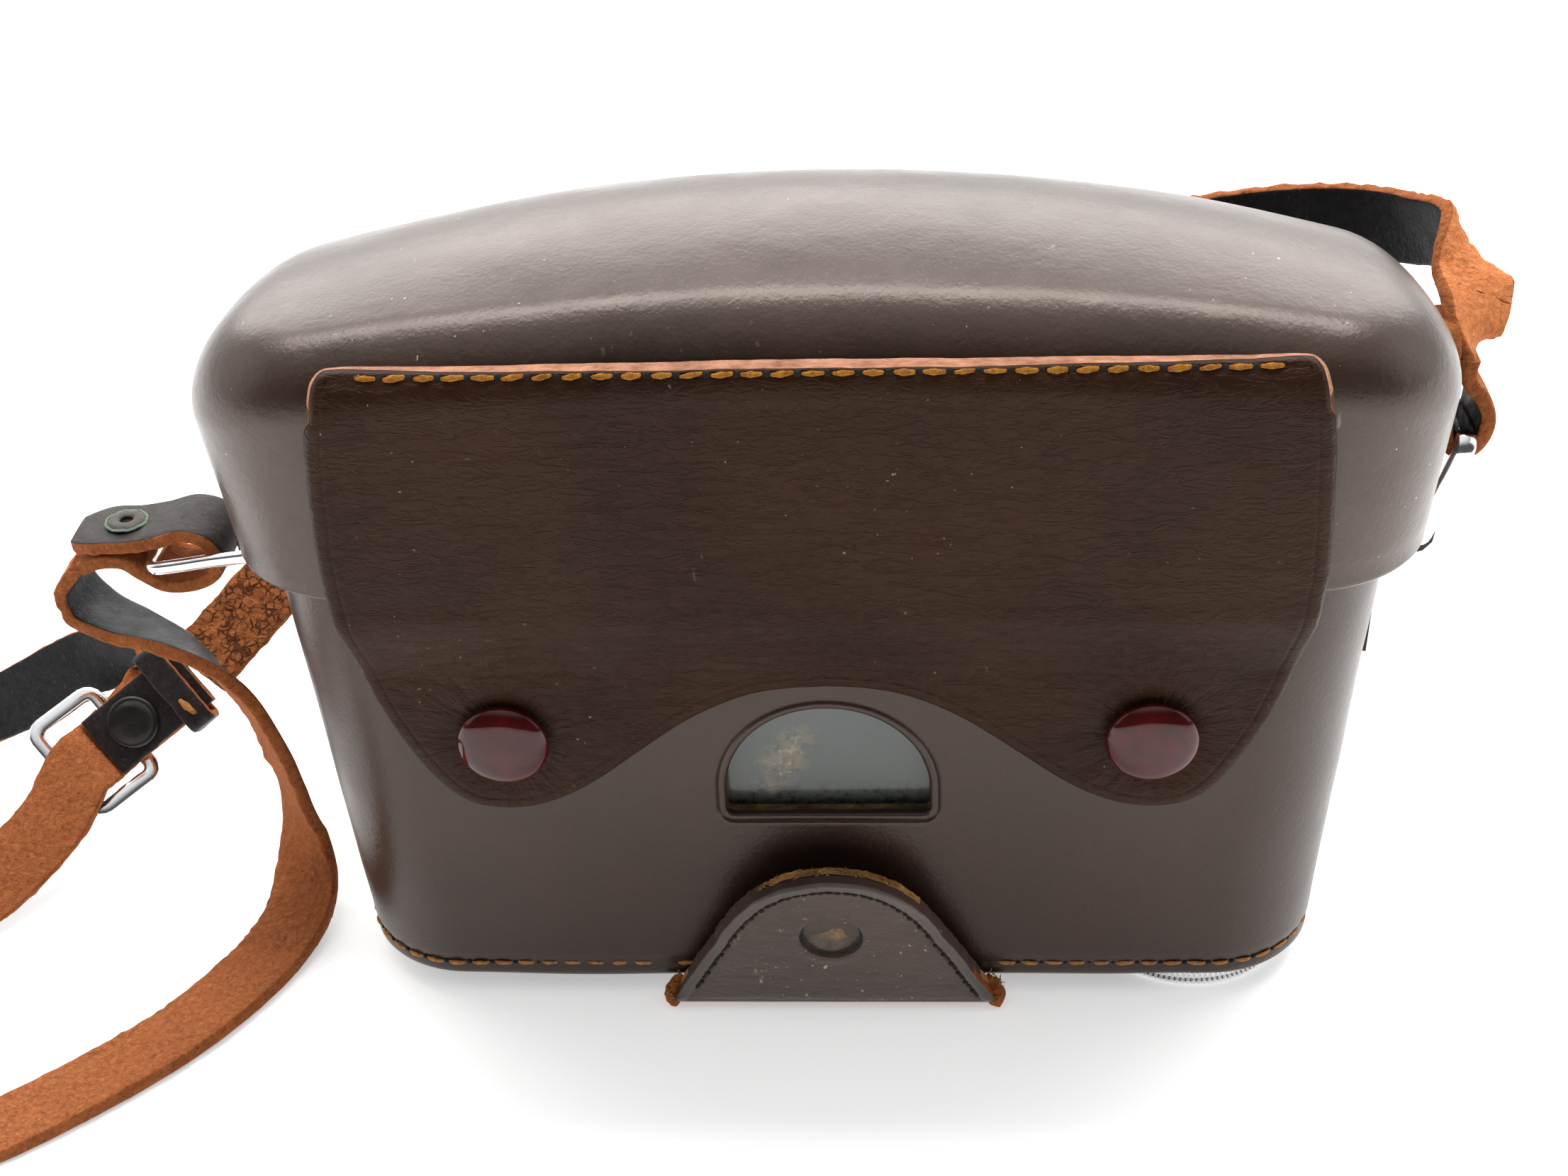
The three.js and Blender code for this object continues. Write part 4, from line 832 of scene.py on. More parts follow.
# lip round the window: distance out from the cut, depth behind the front
WINDOW_LIP = [(0.0, 1.1), (0.0, 0.42), (0.1, 0.16), (0.3, 0.03), (0.55, 0.0), (0.85, 0.02),
              (1.02, 0.16), (1.16, 0.26), (1.3, 0.16), (1.46, 0.02), (1.75, -0.03), (2.3, 0.0)]


def shell_half_width(z):
    return 70.3 + 0.059 * (z - BASE_Z)


def shell_front(z):
    return -26.0 - 0.035 * (z - BASE_Z)


def window_outline(base_steps, rest_steps):
    """The D as rows of x, z, from its lower left corner."""
    outline = [(-WINDOW_HALF + 2 * WINDOW_HALF * i / base_steps, WINDOW_BASE)
               for i in range(base_steps + 1)]
    straight = WINDOW_SHOULDER - WINDOW_BASE
    arc = math.pi * WINDOW_HALF
    for i in range(1, rest_steps):
        travel = (2 * straight + arc) * i / rest_steps
        if travel < straight:
            outline.append((WINDOW_HALF, WINDOW_BASE + travel))
        elif travel < straight + arc:
            angle = (travel - straight) / WINDOW_HALF
            outline.append((WINDOW_HALF * math.cos(angle),
                            WINDOW_SHOULDER + WINDOW_HALF * math.sin(angle)))
        else:
            outline.append((-WINDOW_HALF, WINDOW_SHOULDER - (travel - straight - arc)))
    outline = np.array(outline)
    # soften the two lower corners
    outline[0] += (0.28, 0.28)
    outline[base_steps] += (-0.28, 0.28)
    return outline


def window_rows(outline, perimeter):
    """Rows from the window's inner edge out to the block's perimeter, as x, y, z."""
    tangent = unit(np.roll(outline, -1, 0) - np.roll(outline, 1, 0))
    away = np.column_stack([tangent[:, 1], -tangent[:, 0]])
    flat = [(outline, depth) for depth in (LEATHER, 1.7)]
    flat += [(outline + away * offset, depth) for offset, depth in WINDOW_LIP]
    last = flat[-1][0]
    blends = 9
    for j in range(1, blends):
        flat.append((last * (1 - j / blends) + perimeter * (j / blends), 0))
    return [np.column_stack([q[:, 0], shell_front(q[:, 1]) + depth, q[:, 1]])
            for q, depth in flat]


def join_loops(verts, first, second):
    """Triangles between two loops round the window, walked by angle."""

    def by_angle(loop):
        turn = sorted((math.atan2(verts[p][2] - 44.0, verts[p][0]), p) for p in loop)
        return turn + [(turn[0][0] + 2 * math.pi, turn[0][1])]

    first, second = by_angle(first), by_angle(second)
    faces = []
    i = j = 0
    while i < len(first) - 1 or j < len(second) - 1:
        pair = (first[i][1], second[j][1])
        on_first = i < len(first) - 1
        if j == len(second) - 1 or (on_first and first[i + 1][0] <= second[j + 1][0]):
            i += 1
            faces.append((*pair, first[i][1]))
        else:
            j += 1
            faces.append((*pair, second[j][1]))
    return faces


def make_shell():
    xs = np.concatenate([np.linspace(-54, -BLOCK_HALF, 24)[:-1],
                         np.linspace(-BLOCK_HALF, BLOCK_HALF, 41),
                         np.linspace(BLOCK_HALF, 54, 24)[1:]])[1:-1]
    spots = xs / 54.3
    wall_z = np.concatenate([np.linspace(5.6, BLOCK_LOW, 24)[:-1],
                             np.linspace(BLOCK_LOW, BLOCK_HIGH, 32),
                             np.linspace(BLOCK_HIGH, 73.0, 14)[1:]])

    def outline(z, inset):
        return ring(shell_half_width(z) - inset, shell_front(z) + inset, BACK_Y - inset,
                    SHELL_R - inset, SHELL_R - inset, spots)

    def collar(inset, z):
        flat = ring(74.1 - inset, -27.9 + inset, BACK_Y - inset * LEATHER / 1.9,
                    SHELL_R - inset, SHELL_R - inset, spots)
        row = at_height(flat, z)
        # the back stays below the split
        row[flat[:, 1] > 18.5, 2] = min(z, SPLIT_Z - 0.3 - 0.001 * z)
        return row

    rows = [at_height(outline(BASE_Z + rise, inset), BASE_Z + rise) for rise, inset in FOOT_ROWS]
    rows += [at_height(outline(z, 0), z) for z in wall_z]
    outer_rows = len(rows)
    rows += [collar(inset, z) for inset, z in COLLAR_ROWS]
    inside_top = len(rows)
    rows += [at_height(outline(z, LEATHER), z) for z in INSIDE_ROWS]
    rows.append(at_height(outline(6, LEATHER + 1.2), BASE_Z + LEATHER))
    n = len(rows[0])
    verts, all_faces = skin(rows, (0, 0, BASE_Z), (0, 0, BASE_Z + LEATHER))

    # leave out the window block of the front, and the wider one behind it
    columns = [n - len(xs) + i for i in range(len(xs)) if abs(xs[i]) <= BLOCK_HALF + 0.001]
    left, right = columns[0], columns[-1]
    low = len(FOOT_ROWS) + 23
    high = low + 31
    inside_low = inside_top + 2
    faces = []
    for index, face in enumerate(all_faces):
        k, i = divmod(index, n)
        open_row = low <= k < high or inside_top <= k < inside_low
        if not (open_row and left <= i < right):
            faces.append(face)
    kinds = [1 if min(f) // n >= outer_rows + 5 else 0 for f in faces]

    # the block's perimeter from its lower left, joined to the D
    perimeter = ([low * n + i for i in columns]
                 + [k * n + right for k in range(low + 1, high + 1)]
                 + [high * n + i for i in columns[::-1][1:]]
                 + [k * n + left for k in range(high - 1, low, -1)])
    m = len(perimeter)
    across = len(columns) - 1
    opening = window_outline(across, 2 * (high - low) + across)
    new_rows = window_rows(opening, verts[perimeter][:, [0, 2]])
    first_new = len(verts)
    verts = np.concatenate([verts, *new_rows])
    loops = [[first_new + j * m + i for i in range(m)] for j in range(len(new_rows))]
    loops.append(perimeter)
    for depth, (near, far) in enumerate(zip(loops[:-1], loops[1:])):
        for i in range(m):
            j = (i + 1) % m
            faces.append((near[i], far[i], far[j], near[j]))
        kinds += [3 if depth < 2 else 0] * m

    # the inside wall, closed to the opening
    hole = [k * n + i for k in (inside_low, inside_top) for i in columns]
    hole += [(inside_top + 1) * n + i for i in (left, right)]
    band = join_loops(verts, hole, loops[0])
    faces += band
    kinds += [1] * len(band)

    # pressed seam channel near the foot and unevenness on the outside
    is_outer = np.zeros(len(verts), bool)
    is_outer[: outer_rows * n] = True
    is_outer[first_new + 2 * m :] = True
    z = verts[:, 2]
    push = field(verts, 46, 3) * 0.16 + field(verts, 15, 4) * 0.035
    push += 0.1 * (z < 5.2) - 0.32 * hump(z - 6.3, 0.75)
    return add("case_shell_leather", verts, faces, [M_SHELL, M_INSIDE, M_RAW_DARK, M_WINDOW_CUT],
               kinds, "case", ["case_shell"], sharp=48,
               push=np.where(is_outer, push, 0))


def even_normals(piece):
    """Turn every face of the closed mesh outward."""
    mesh = bmesh.new()
    mesh.from_mesh(piece.data)
    bmesh.ops.remove_doubles(mesh, verts=mesh.verts, dist=1e-7)
    bmesh.ops.recalc_face_normals(mesh, faces=mesh.faces)
    if mesh.calc_volume(signed=True) < 0:
        bmesh.ops.reverse_faces(mesh, faces=mesh.faces)
    mesh.to_mesh(piece.data)
    mesh.free()
    piece.data.update()


shell = make_shell()
bpy.context.view_layer.update()
even_normals(shell)


# ---------------------------------------------------------------- lid
# lip under the rim, from the inside out: inset, z
LID_LIP = [(2.5, 74.1), (2.32, 73.75), (1.9, 73.55), (1.25, SPLIT_Z), (0.6, 73.55),
           (0.18, 73.75), (0.0, 74.1)]


def lid_top(x, y):
    """Height of the lid's domed top."""
    drop = 2.1 + x * x / 1385
    bend = (17.2 - drop) / 1764
    depth = y + 28
    return 114.5 - x * x / 800 + (84 * bend - 0.41) * depth - bend * depth * depth


def lid_rows(inset, wall, fillet, top):
    """Rows up the wall, over the fillet and in along the top; the rim outline; the centre."""
    spots = np.linspace(-1, 1, 100)[1:-1]

    def outline(half_width, front_y):
        return ring(half_width - inset, front_y + inset, BACK_Y - inset, LID_FRONT_R - inset,
                    LID_BACK_R - inset, spots, corner=20, side=14)

    upper = outline(79.9, LID_FRONT)
    rim = outline(78.6, LID_RIM_FRONT)
    nx, ny = upper[:, 2], upper[:, 3]
    front_r, side_r, back_r = (r - inset * 0.6 for r in (LID_FILLET, 11.5, 10.0))
    radius = nx**2 * side_r + np.where(ny < 0, ny**2 * front_r, ny**2 * back_r)

    def level(angle):
        reach = radius * (1 - math.cos(angle))
        x = upper[:, 0] - nx * reach
        y = upper[:, 1] - ny * reach
        return np.column_stack([x, y, lid_top(x, y) - inset - radius * (1 - math.sin(angle))])

    rim_row = at_height(rim, SPLIT_Z + 1.0)
    rows = [rim_row * (1 - k) + level(0) * k for k in wall]
    rows += [level(math.radians(angle)) for angle in fillet]
    last = rows[-1]
    for k in top:
        x = last[:, 0] * (1 - k)
        y = -5 + (last[:, 1] + 5) * (1 - k)
        rows.append(np.column_stack([x, y, lid_top(x, y) - inset]))
    return rows, rim, (0, -5, lid_top(0.0, -5.0) - inset)


def make_lid():
    outer, rim, outer_centre = lid_rows(
        0, wall=np.linspace(0, 1, 26)[:-1], fillet=np.linspace(0, 90, 15),
        top=1 - np.linspace(1, 0.02, 30)[1:] ** 1.15)
    inner, _, inner_centre = lid_rows(
        LID_WALL, wall=np.linspace(0, 1, 6)[:-1], fillet=np.linspace(0, 90, 6), top=[0.3, 0.65])
    lip = [at_height(rim[:, :2] - rim[:, 2:] * inset, z) for inset, z in LID_LIP]
    verts, faces = skin(inner[::-1] + lip + outer, inner_centre, outer_centre)
    n = len(rim)
    kinds = []
    for face in faces:
        k = min(face) // n
        kinds.append(1 if k < len(inner) else 2 if k < len(inner) + 5 else 0)
    is_outer = np.arange(len(verts)) >= (len(inner) + 6) * n
    is_outer[-2] = False  # the inner centre
    push = field(verts, 55, 11) * 0.22 + field(verts, 18, 12) * 0.05
    push -= 0.09 * hump(verts[:, 2] - 76.3, 0.9)  # pressed line above the rim
    add("case_lid_leather", verts, faces, [M_LID, M_INSIDE, M_RAW_DARK], kinds, "lid",
        ["case_lid"], sharp=50, push=np.where(is_outer, push, 0))


make_lid()

# ---------------------------------------------------------------- front flap
FLAP_R = LID_FILLET + FLAP_GAP  # the flap's inner radius over the lid's front fillet
FILLET_Y = LID_FRONT + LID_FILLET
# right half of the outline from the bottom middle to the top middle: x, z
FLAP_OUTLINE = [
    (0, 58.7), (5.4, 58.3), (11.2, 56.9), (17.9, 53.4), (24.6, 48.3), (31.3, 42.9), (35.8, 40.1),
    (40.2, 38.5), (44.7, 38.15), (48.2, 38.9), (51.6, 41.4), (54.6, 46), (58.0, 53), (61.0, 63),
    (62.5, 75), (62.0, 90), (60.6, 102), (60.1, 105.6), (59.6, 107.3), (58.4, 108.5),
    (56.6, 108.8), (50, 108.85), (30, 109.05), (0, 109.15)]


def fillet_z(x):
    """Where the lid's front wall turns into its fillet."""
    return lid_top(x, -33.5) - LID_FILLET


def lid_front(x, z):
    """The lid's outside at the front, as y."""
    turn = fillet_z(x)
    share = np.clip((z - SPLIT_Z) / (turn - SPLIT_Z), 0, 1)
    wall = LID_RIM_FRONT + (LID_FRONT - LID_RIM_FRONT) * share
    t = np.clip((z - turn) / LID_FILLET, 0, 0.999)
    return np.where(z > turn, LID_FRONT + LID_FILLET * (1 - np.sqrt(1 - t * t)), wall)


def flap_back(x, z):
    """Inner face: along the shell below, easing out to the lid above."""
    low, high = 60.5, 72.5
    ease = smooth((z - low) / (high - low))
    upper = lid_front(x, np.maximum(z, SPLIT_Z)) - FLAP_GAP
    eased = (shell_front(low) - 1.0) * (1 - ease) + upper * ease
    return np.where(z <= low, shell_front(z) - 1.0, eased)


def flap_outer(x, z):
    """Outer face, its thickness measured square to the lid."""
    turn = fillet_z(x)
    radius = FLAP_R + FLAP_THICK
    rise = np.clip(z - turn, 0, radius * 0.995)
    over = FILLET_Y - np.sqrt(np.maximum(radius * radius - rise**2, 0.01))
    return np.where(z > turn, over, flap_back(x, z) - FLAP_THICK)


def seam_z(x):
    return 107.55 - 0.5 * (np.asarray(x) / 57.0) ** 2


def make_flap():
    right = catmull(FLAP_OUTLINE, np.linspace(0, len(FLAP_OUTLINE) - 1, 900))
    left = right[::-1] * np.array([-1, 1])
    loop = resample(np.vstack([right, left[1:-1]]), 0.62, True)
    # a slightly uneven cut
    flat = with_zeros(loop)
    wobble = field(flat, 9, 21) * 0.09 + field(flat, 2.6, 22) * 0.035
    loop = loop + unit(loop - np.array([0, 75.0])) * wobble[:, None]
    insets = [0.14, 0.34, 0.62, 1.0, 1.4, 1.7, 1.9, 2.06, 2.22, 2.42, 2.75, 3.4, 4.2]
    points, triangles, edge = sheet(loop, insets, 0.95)
    x, z = points.T
    place = np.column_stack([x, np.zeros_like(x), z])
    # edge rolled down, with a pressed line beside it
    near_top = smooth((z - 103.5) / 2.0)
    roll = (0.5 * fade(edge, 2.0, 2.2) + 0.32 * fade(edge, 0.6)) * (1 - 0.6 * near_top)
    line = (0.12 * hump(edge - 2.06, 0.17) - 0.04 * hump(edge - 2.6, 0.4)) * (1 - near_top)
    # seam channel along the top, with a swelling below it
    below_seam = z - seam_z(x)
    channel = 0.35 * hump(below_seam, 0.75) * (np.abs(x) < 57.5)
    swell = -0.16 * hump(below_seam + 2.6, 1.2) * smooth((58 - np.abs(x)) / 4)
    # puckered dimples round the snaps
    dimple = np.zeros_like(x)
    for snap_x in (-SNAP_X, SNAP_X):
        radius = np.hypot(x - snap_x, z - SNAP_Z)
        angle = np.arctan2(z - SNAP_Z, x - snap_x)
        dimple += 0.55 * hump(np.maximum(radius - 5.6, 0), 2.4)
        dimple += 0.07 * np.sin(angle * 13 + 2 * np.sin(angle * 3)) * hump(radius - 8.6, 2.0)
    uneven = field(place, 38, 23) * 0.22
    uneven += field(place * [0.35, 1, 1], 5.5, 24) * 0.055 * smooth((100 - z) / 20)
    y = flap_outer(x, z) + roll + line + channel + swell + dimple + uneven * smooth(edge / 4)
    # the top edge is cut at a slant, so its raw face shows
    slant = 1.25 * smooth((z - 100.6) / 2.2) * fade(edge, 1.5, 1.3)
    front = np.column_stack([
        x - np.sign(x) * 0.5 * slant * smooth((np.abs(x) - 57.5) / 2.5), y,
        z - slant * (1 - 0.5 * smooth((np.abs(x) - 58.5) / 2))])
    # the thickness direction turns with the lid's fillet
    turn = fillet_z(x)
    over = z > turn
    angle = np.arcsin(np.clip((z - turn) / (FLAP_R + FLAP_THICK), 0, 0.95))
    back = np.column_stack([
        x, np.where(over, FILLET_Y - FLAP_R * np.cos(angle), flap_back(x, z)),
        np.where(over, turn + FLAP_R * np.sin(angle), z)])

    def edge_kind(centre):
        """Tan along the top, darker elsewhere."""
        top = centre[2] > 104.6 or (centre[2] > 103.3 and abs(centre[0]) > 56)
        return 2 if top else 3

    verts, faces, kinds = thicken(triangles, len(loop), front, back, (0.22, 0.5, 0.78), edge_kind)
    flap = add("front_flap_leather", verts, faces, [M_FLAP, M_INSIDE, M_RAW, M_RAW_DARK], kinds,
               None, ["front_flap", "flap_top_band"], sharp=55)
    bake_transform(flap)


make_flap()


# ---------------------------------------------------------------- stitches
def stitch_parts(points, normals, seed, pitch, length, width, height, lift=0.05, hole=0.34,
                 tilt=0.0):
    """Thread lengths along a dense path, with a near-black pit between each pair as painted shade
    in the stitch hole.

    width and height are a thread's half sizes, hole is a hole's radius."""
    random = np.random.default_rng(seed)
    lengths = arc_lengths(points)
    at = lambda spot, rows: along(rows, spot, lengths)
    total = lengths[-1]
    rows, sides = 9, 8
    threads, holes = [], []
    for i in range(int(total / pitch)):
        centre = (i + 0.5) * pitch + random.uniform(-0.1, 0.1)
        span = length * random.uniform(0.88, 1.1)
        wide = width * random.uniform(0.85, 1.2)
        tall = height * random.uniform(0.85, 1.15)
        slope = tilt + random.uniform(-0.09, 0.09)
        tangent = unit(at(min(centre + 0.5, total), points) - at(max(centre - 0.5, 0), points))
        normal = at(centre, normals)
        normal = unit(normal - tangent * normal.dot(tangent))
        side = np.cross(tangent, normal)
        verts = []
        for k in range(rows):
            u = k / (rows - 1)
            arch = math.sin(math.pi * u)
            rise = lift + tall * 0.55 * arch**0.8 - 0.28 * (1 - arch) ** 3
            middle = at(centre + span * (u - 0.5), points) + normal * rise
            middle = middle + side * slope * (u - 0.5) * span
            for j in range(sides):
                angle = 2 * math.pi * j / sides
                twist = 1 + 0.12 * math.cos(2 * (angle + u * 2.4) + u * 9)
                size = max(0.12, arch**0.45) * twist
                verts.append(middle + side * math.cos(angle) * wide * size
                             + normal * math.sin(angle) * tall * size)
        threads.append((np.array(verts), outward(verts, tube_faces(rows, sides)), 0))
        if i:
            pit = [(0, 0.1), (0.6, 0.07), (1.0, -0.05), (0.6, -0.2), (0, -0.24)]
            verts, faces = revolve(pit, 10)
            verts = basis(verts, tangent * hole * 1.15, side * hole, normal,
                          at(i * pitch, points) + normal * lift * 0.5)
            holes.append((verts, outward(verts, faces), 1))
    return threads + holes


def stitches(name, runs, thread, body, slot, seed, **sizes):
    """One object of stitches over runs of (points, normals)."""
    parts = []
    for i, (points, normals) in enumerate(runs):
        parts += stitch_parts(points, normals, seed + i, **sizes)
    verts, faces, kinds = merge(parts)
    add(name, verts, faces, [thread, M_HOLE_SHADE], kinds, body, sharp=0, orient=False)


def flap_seam():
    x = np.linspace(-54.4, 57.6, 400)
    z = seam_z(x)
    z = np.where(x > 52, z + 0.35 * ((x - 52) / 5.6) ** 2, z)
    slope = (flap_outer(x, z + 0.3) - flap_outer(x, z - 0.3)) / 0.6
    points = np.column_stack([x, flap_outer(x, z) + 0.32, z])
    normals = unit(np.column_stack([np.zeros_like(x), -np.ones_like(x), slope]))
    stitches("flap_top_stitching", [(points, normals)], M_THREAD_TOP, "lid", "leather_flap",
             seed=100, pitch=3.52, length=3.0, width=0.37, height=0.26, tilt=-0.07, hole=0.42)


def bottom_seam():
    """Round the front and the corners, as left, right and middle runs."""
    z = 6.3
    outline = ring(shell_half_width(z), shell_front(z), BACK_Y, SHELL_R, SHELL_R,
                   np.linspace(-1, 1, 200)[1:-1], corner=30, side=20)
    outline = outline[outline[:, 1] < 2.0]
    outline = outline[np.argsort(np.arctan2(outline[:, 1] - 2.5, outline[:, 0]))]
    normals = with_zeros(outline[:, 2:])
    points = at_height(outline, z) - normals * 0.3
    x = points[:, 0]
    left, right = x < -23.6, x > 23.0
    runs = [(points[part], normals[part]) for part in (left, right, ~(left | right))]
    stitches("bottom_seam_stitching", runs, M_THREAD, "case", "leather_case", seed=200,
             pitch=3.42, length=2.95, width=0.34, height=0.22, hole=0.38)


flap_seam()
bottom_seam()

# ---------------------------------------------------------------- snap caps
# radius and depth behind the cap's front
SNAP_PROFILE = [(0, 0.0), (1.2, 0.02), (2.6, 0.12), (3.9, 0.36), (4.9, 0.72), (5.55, 1.12),
                (5.95, 1.5), (6.15, 1.85), (6.2, 2.1), (6.12, 2.3), (5.9, 2.42), (5.5, 2.5),
                (3.2, 2.6), (2.95, 2.7), (2.95, 3.3), (0, 3.3)]


def snap_cap(name, side):
    front_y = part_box(name)[0].y * 1000
    verts, faces = revolve(SNAP_PROFILE, 72)
    radius, angle = polar(verts)
    verts[:, 2] += 0.035 * np.cos(2 * angle + side) * (radius / 6.2)
    verts = basis(verts, (1, 0, 0), (0, 0, 1), (0, 1, 0), (SNAP_X * side, front_y, SNAP_Z))
    add(name + "_enamel", verts, faces, M_SNAP, None, "flap", [name], sharp=50)


snap_cap("snap_cap_left", -1)
snap_cap("snap_cap_right", 1)

# ---------------------------------------------------------------- straps
# the buckle's own frame: normal, direction along its strap, direction across, origin
BUCKLE_N = unit(np.array([0.054, -0.841, 0.539]))
BUCKLE_ALONG = np.array([-0.768, -0.379, -0.515])
BUCKLE_ALONG = unit(BUCKLE_ALONG - BUCKLE_N * BUCKLE_ALONG.dot(BUCKLE_N))
BUCKLE_ACROSS = np.cross(BUCKLE_N, BUCKLE_ALONG)
BUCKLE_O = np.array([-113.0, 15.0, 20.5])
STRAP_HALF = 5.5


def buckle_place(length, across, height):
    return BUCKLE_O + length * BUCKLE_ALONG + across * BUCKLE_ACROSS + height * BUCKLE_N


def buckle_row(length, across, height, normal):
    return [*buckle_place(length, across, height), *normal]


# strap stations: x, y, z and the direction the suede side faces
LEFT_ROWS = [
    [-107.6, 0, 61.3, -0.3, 0, 1], [-110.4, 0, 57.4, -1, 0, 0.1],
    [-108.6, -0.6, 53.0, -0.6, 0, -0.8], [-102.5, -2.6, 50.6, -0.15, -0.2, -0.95],
    [-94.5, -5.4, 48.6, -0.3, -0.45, -0.85], [-88.2, -7.0, 44.2, -0.6, -0.6, -0.5],
    [-84.6, -6.0, 35.5, -0.8, -0.6, -0.05], [-83.4, -3.6, 24.5, -0.75, -0.65, 0.1],
    [-83.0, -0.6, 13.5, -0.65, -0.6, 0.4], [-83.2, -3.2, 6.0, -0.4, -0.45, 0.8],
    [-83.2, -9.6, 2.7, -0.1, 0, 1], [-85.5, -18, 1.4, 0, 0, 1], [-93.5, -33, 1.3, 0, 0, 1],
    [-106, -46.5, 1.3, 0, 0, 1], [-121, -57.5, 1.4, 0, 0, 1], [-138, -60, 2.2, 0, -0.2, 1],
    [-149, -50, 3.6, 0.2, -0.45, 0.9], [-149, -36, 4.8, 0.3, -0.6, 0.75],
    [-141, -20, 5.0, 0.15, -0.75, 0.6], [-131, -7, 6.4, *BUCKLE_N], [-124, 2.2, 11.2, *BUCKLE_N],
    buckle_row(10.4, 0.5, 3.5, BUCKLE_N), buckle_row(8.7, 0.3, 2.2, BUCKLE_N - BUCKLE_ALONG),
    buckle_row(8.2, 0.0, -0.6, -BUCKLE_ALONG),
    buckle_row(8.5, -0.4, -3.0, -BUCKLE_ALONG - 0.3 * BUCKLE_N)]
TONGUE_ROWS = [
    buckle_row(8.5, -0.5, -4.2, BUCKLE_N), buckle_row(3, -1, -4.6, BUCKLE_N),
    buckle_row(-2.6, -2, -5.4, BUCKLE_N), buckle_row(-5.4, -4, -8.2, -BUCKLE_ALONG),
    [-116.2, 29.6, 23.6, 0.1, 0.84, 0.3], [-126, 31.5, 20.8, -0.05, 0.84, -0.54],
    [-141.5, 30.8, 12.8, -0.05, 0.84, -0.54], [-154, 30, 8.6, 0, 0.7, -0.7],
    [-166, 28, 5.6, 0, 0.5, -0.85]]
RIGHT_ROWS = [
    [84.95, 0, 88.4, 1, 0, 0], [85.3, 0.2, 91.2, 0.96, -0.25, 0.05],
    [85.9, 1.6, 94.2, 0.6, -0.75, 0.35], [86.9, 8.0, 97.8, 0.2, -0.3, 1.0],
    [86.6, 17.2, 99.4, 0.93, 0.3, 0.4], [82, 26.5, 97.2, 0.5, 1, 0.1],
    [74, 31.5, 96.2, 0.2, 1, 0], [60, 33.6, 94.8, 0, 1, 0], [40, 34, 90.5, 0, 1, 0],
    [18, 34, 82, 0, 1, 0], [-2, 34, 73, 0, 1, 0], [-22, 34, 64.5, 0, 1, 0],
    [-42, 34.2, 57, 0.1, 1, 0.2], [-58, 34.6, 51.5, 0.1, 0.8, 0.8], [-71, 34.4, 48, 0.2, 0, 1],
    [-81.5, 32.5, 44, 0.2, -0.6, 0.8], [-89.5, 28.6, 39.2, 0.1, -0.8, 0.5],
    [-96.6, 24.1, 33, *BUCKLE_N], buckle_row(-13.2, 0, 0, BUCKLE_N)]
# folded ends in the plane y = 0: x, z
END_LEFT = [
    (-107.5, 64.8), (-103, 65.5), (-99.5, 65.6), (-95.5, 66.2), (-91, 67.4), (-87.8, 66.4),
    (-86.3, 63.8), (-87.2, 61.0), (-90.5, 59.2), (-94.5, 59.0), (-97.6, 60.8), (-100.2, 62.9),
    (-103.5, 63.0), (-106.5, 61.9)]
END_RIGHT = [
    (82.0, 96), (82.1, 91), (82.2, 86), (82.4, 82), (83.0, 79.6), (84.6, 78.3), (86.3, 78.7),
    (87.6, 80.6), (88.0, 83.2), (86.9, 86.2), (84.9, 88.6), (84.6, 90.4), (84.9, 92.0)]


def strap_path(stations, smoothing=0.45, dense=2600):
    """Dense knots, middle points, normals, directions across and lengths along the stations."""
    stations = np.asarray(stations, float)
    last = len(stations) - 1
    knots = np.linspace(0, last, dense)
    points = catmull(stations[:, :3], knots)
    normals = along(stations[:, 3:], knots, np.arange(last + 1))
    window = int(dense / last * smoothing) | 1
    kernel = np.hanning(window + 2)[1:-1]
    kernel /= kernel.sum()
    padded = np.pad(normals, ((window // 2,) * 2, (0, 0)), mode="edge")
    normals = np.stack([np.convolve(column, kernel, mode="valid") for column in padded.T], 1)
    tangents = unit(np.gradient(points, axis=0))
    normals = unit(normals - tangents * (normals * tangents).sum(1)[:, None])
    return knots, points, normals, np.cross(tangents, normals), arc_lengths(points)


def strap_section():
    """Strap section: across, thickness (both in half sizes) and face kind after each point.

    Kinds are 0 suede, 1 smooth side, 2 edge."""
    right_edge = [(0.965, -0.93, 1), (0.99, -0.7, 2), (1.0, -0.3, 2), (1.0, 0.15, 2),
                  (0.995, 0.55, 2), (0.97, 0.85, 2), (0.93, 0.97, 0)]
    left_edge = [(-0.93, 0.97, 2), (-0.97, 0.85, 2), (-0.995, 0.55, 2), (-1.0, 0.15, 2),
                 (-1.0, -0.3, 2), (-0.99, -0.7, 2), (-0.965, -0.93, 1)]
    return ([(w, -1.0, 1) for w in np.linspace(-0.9, 0.9, 14)] + right_edge
            + [(w, 1.0, 0) for w in np.linspace(0.84, -0.84, 14)] + left_edge)


SECTION = strap_section()


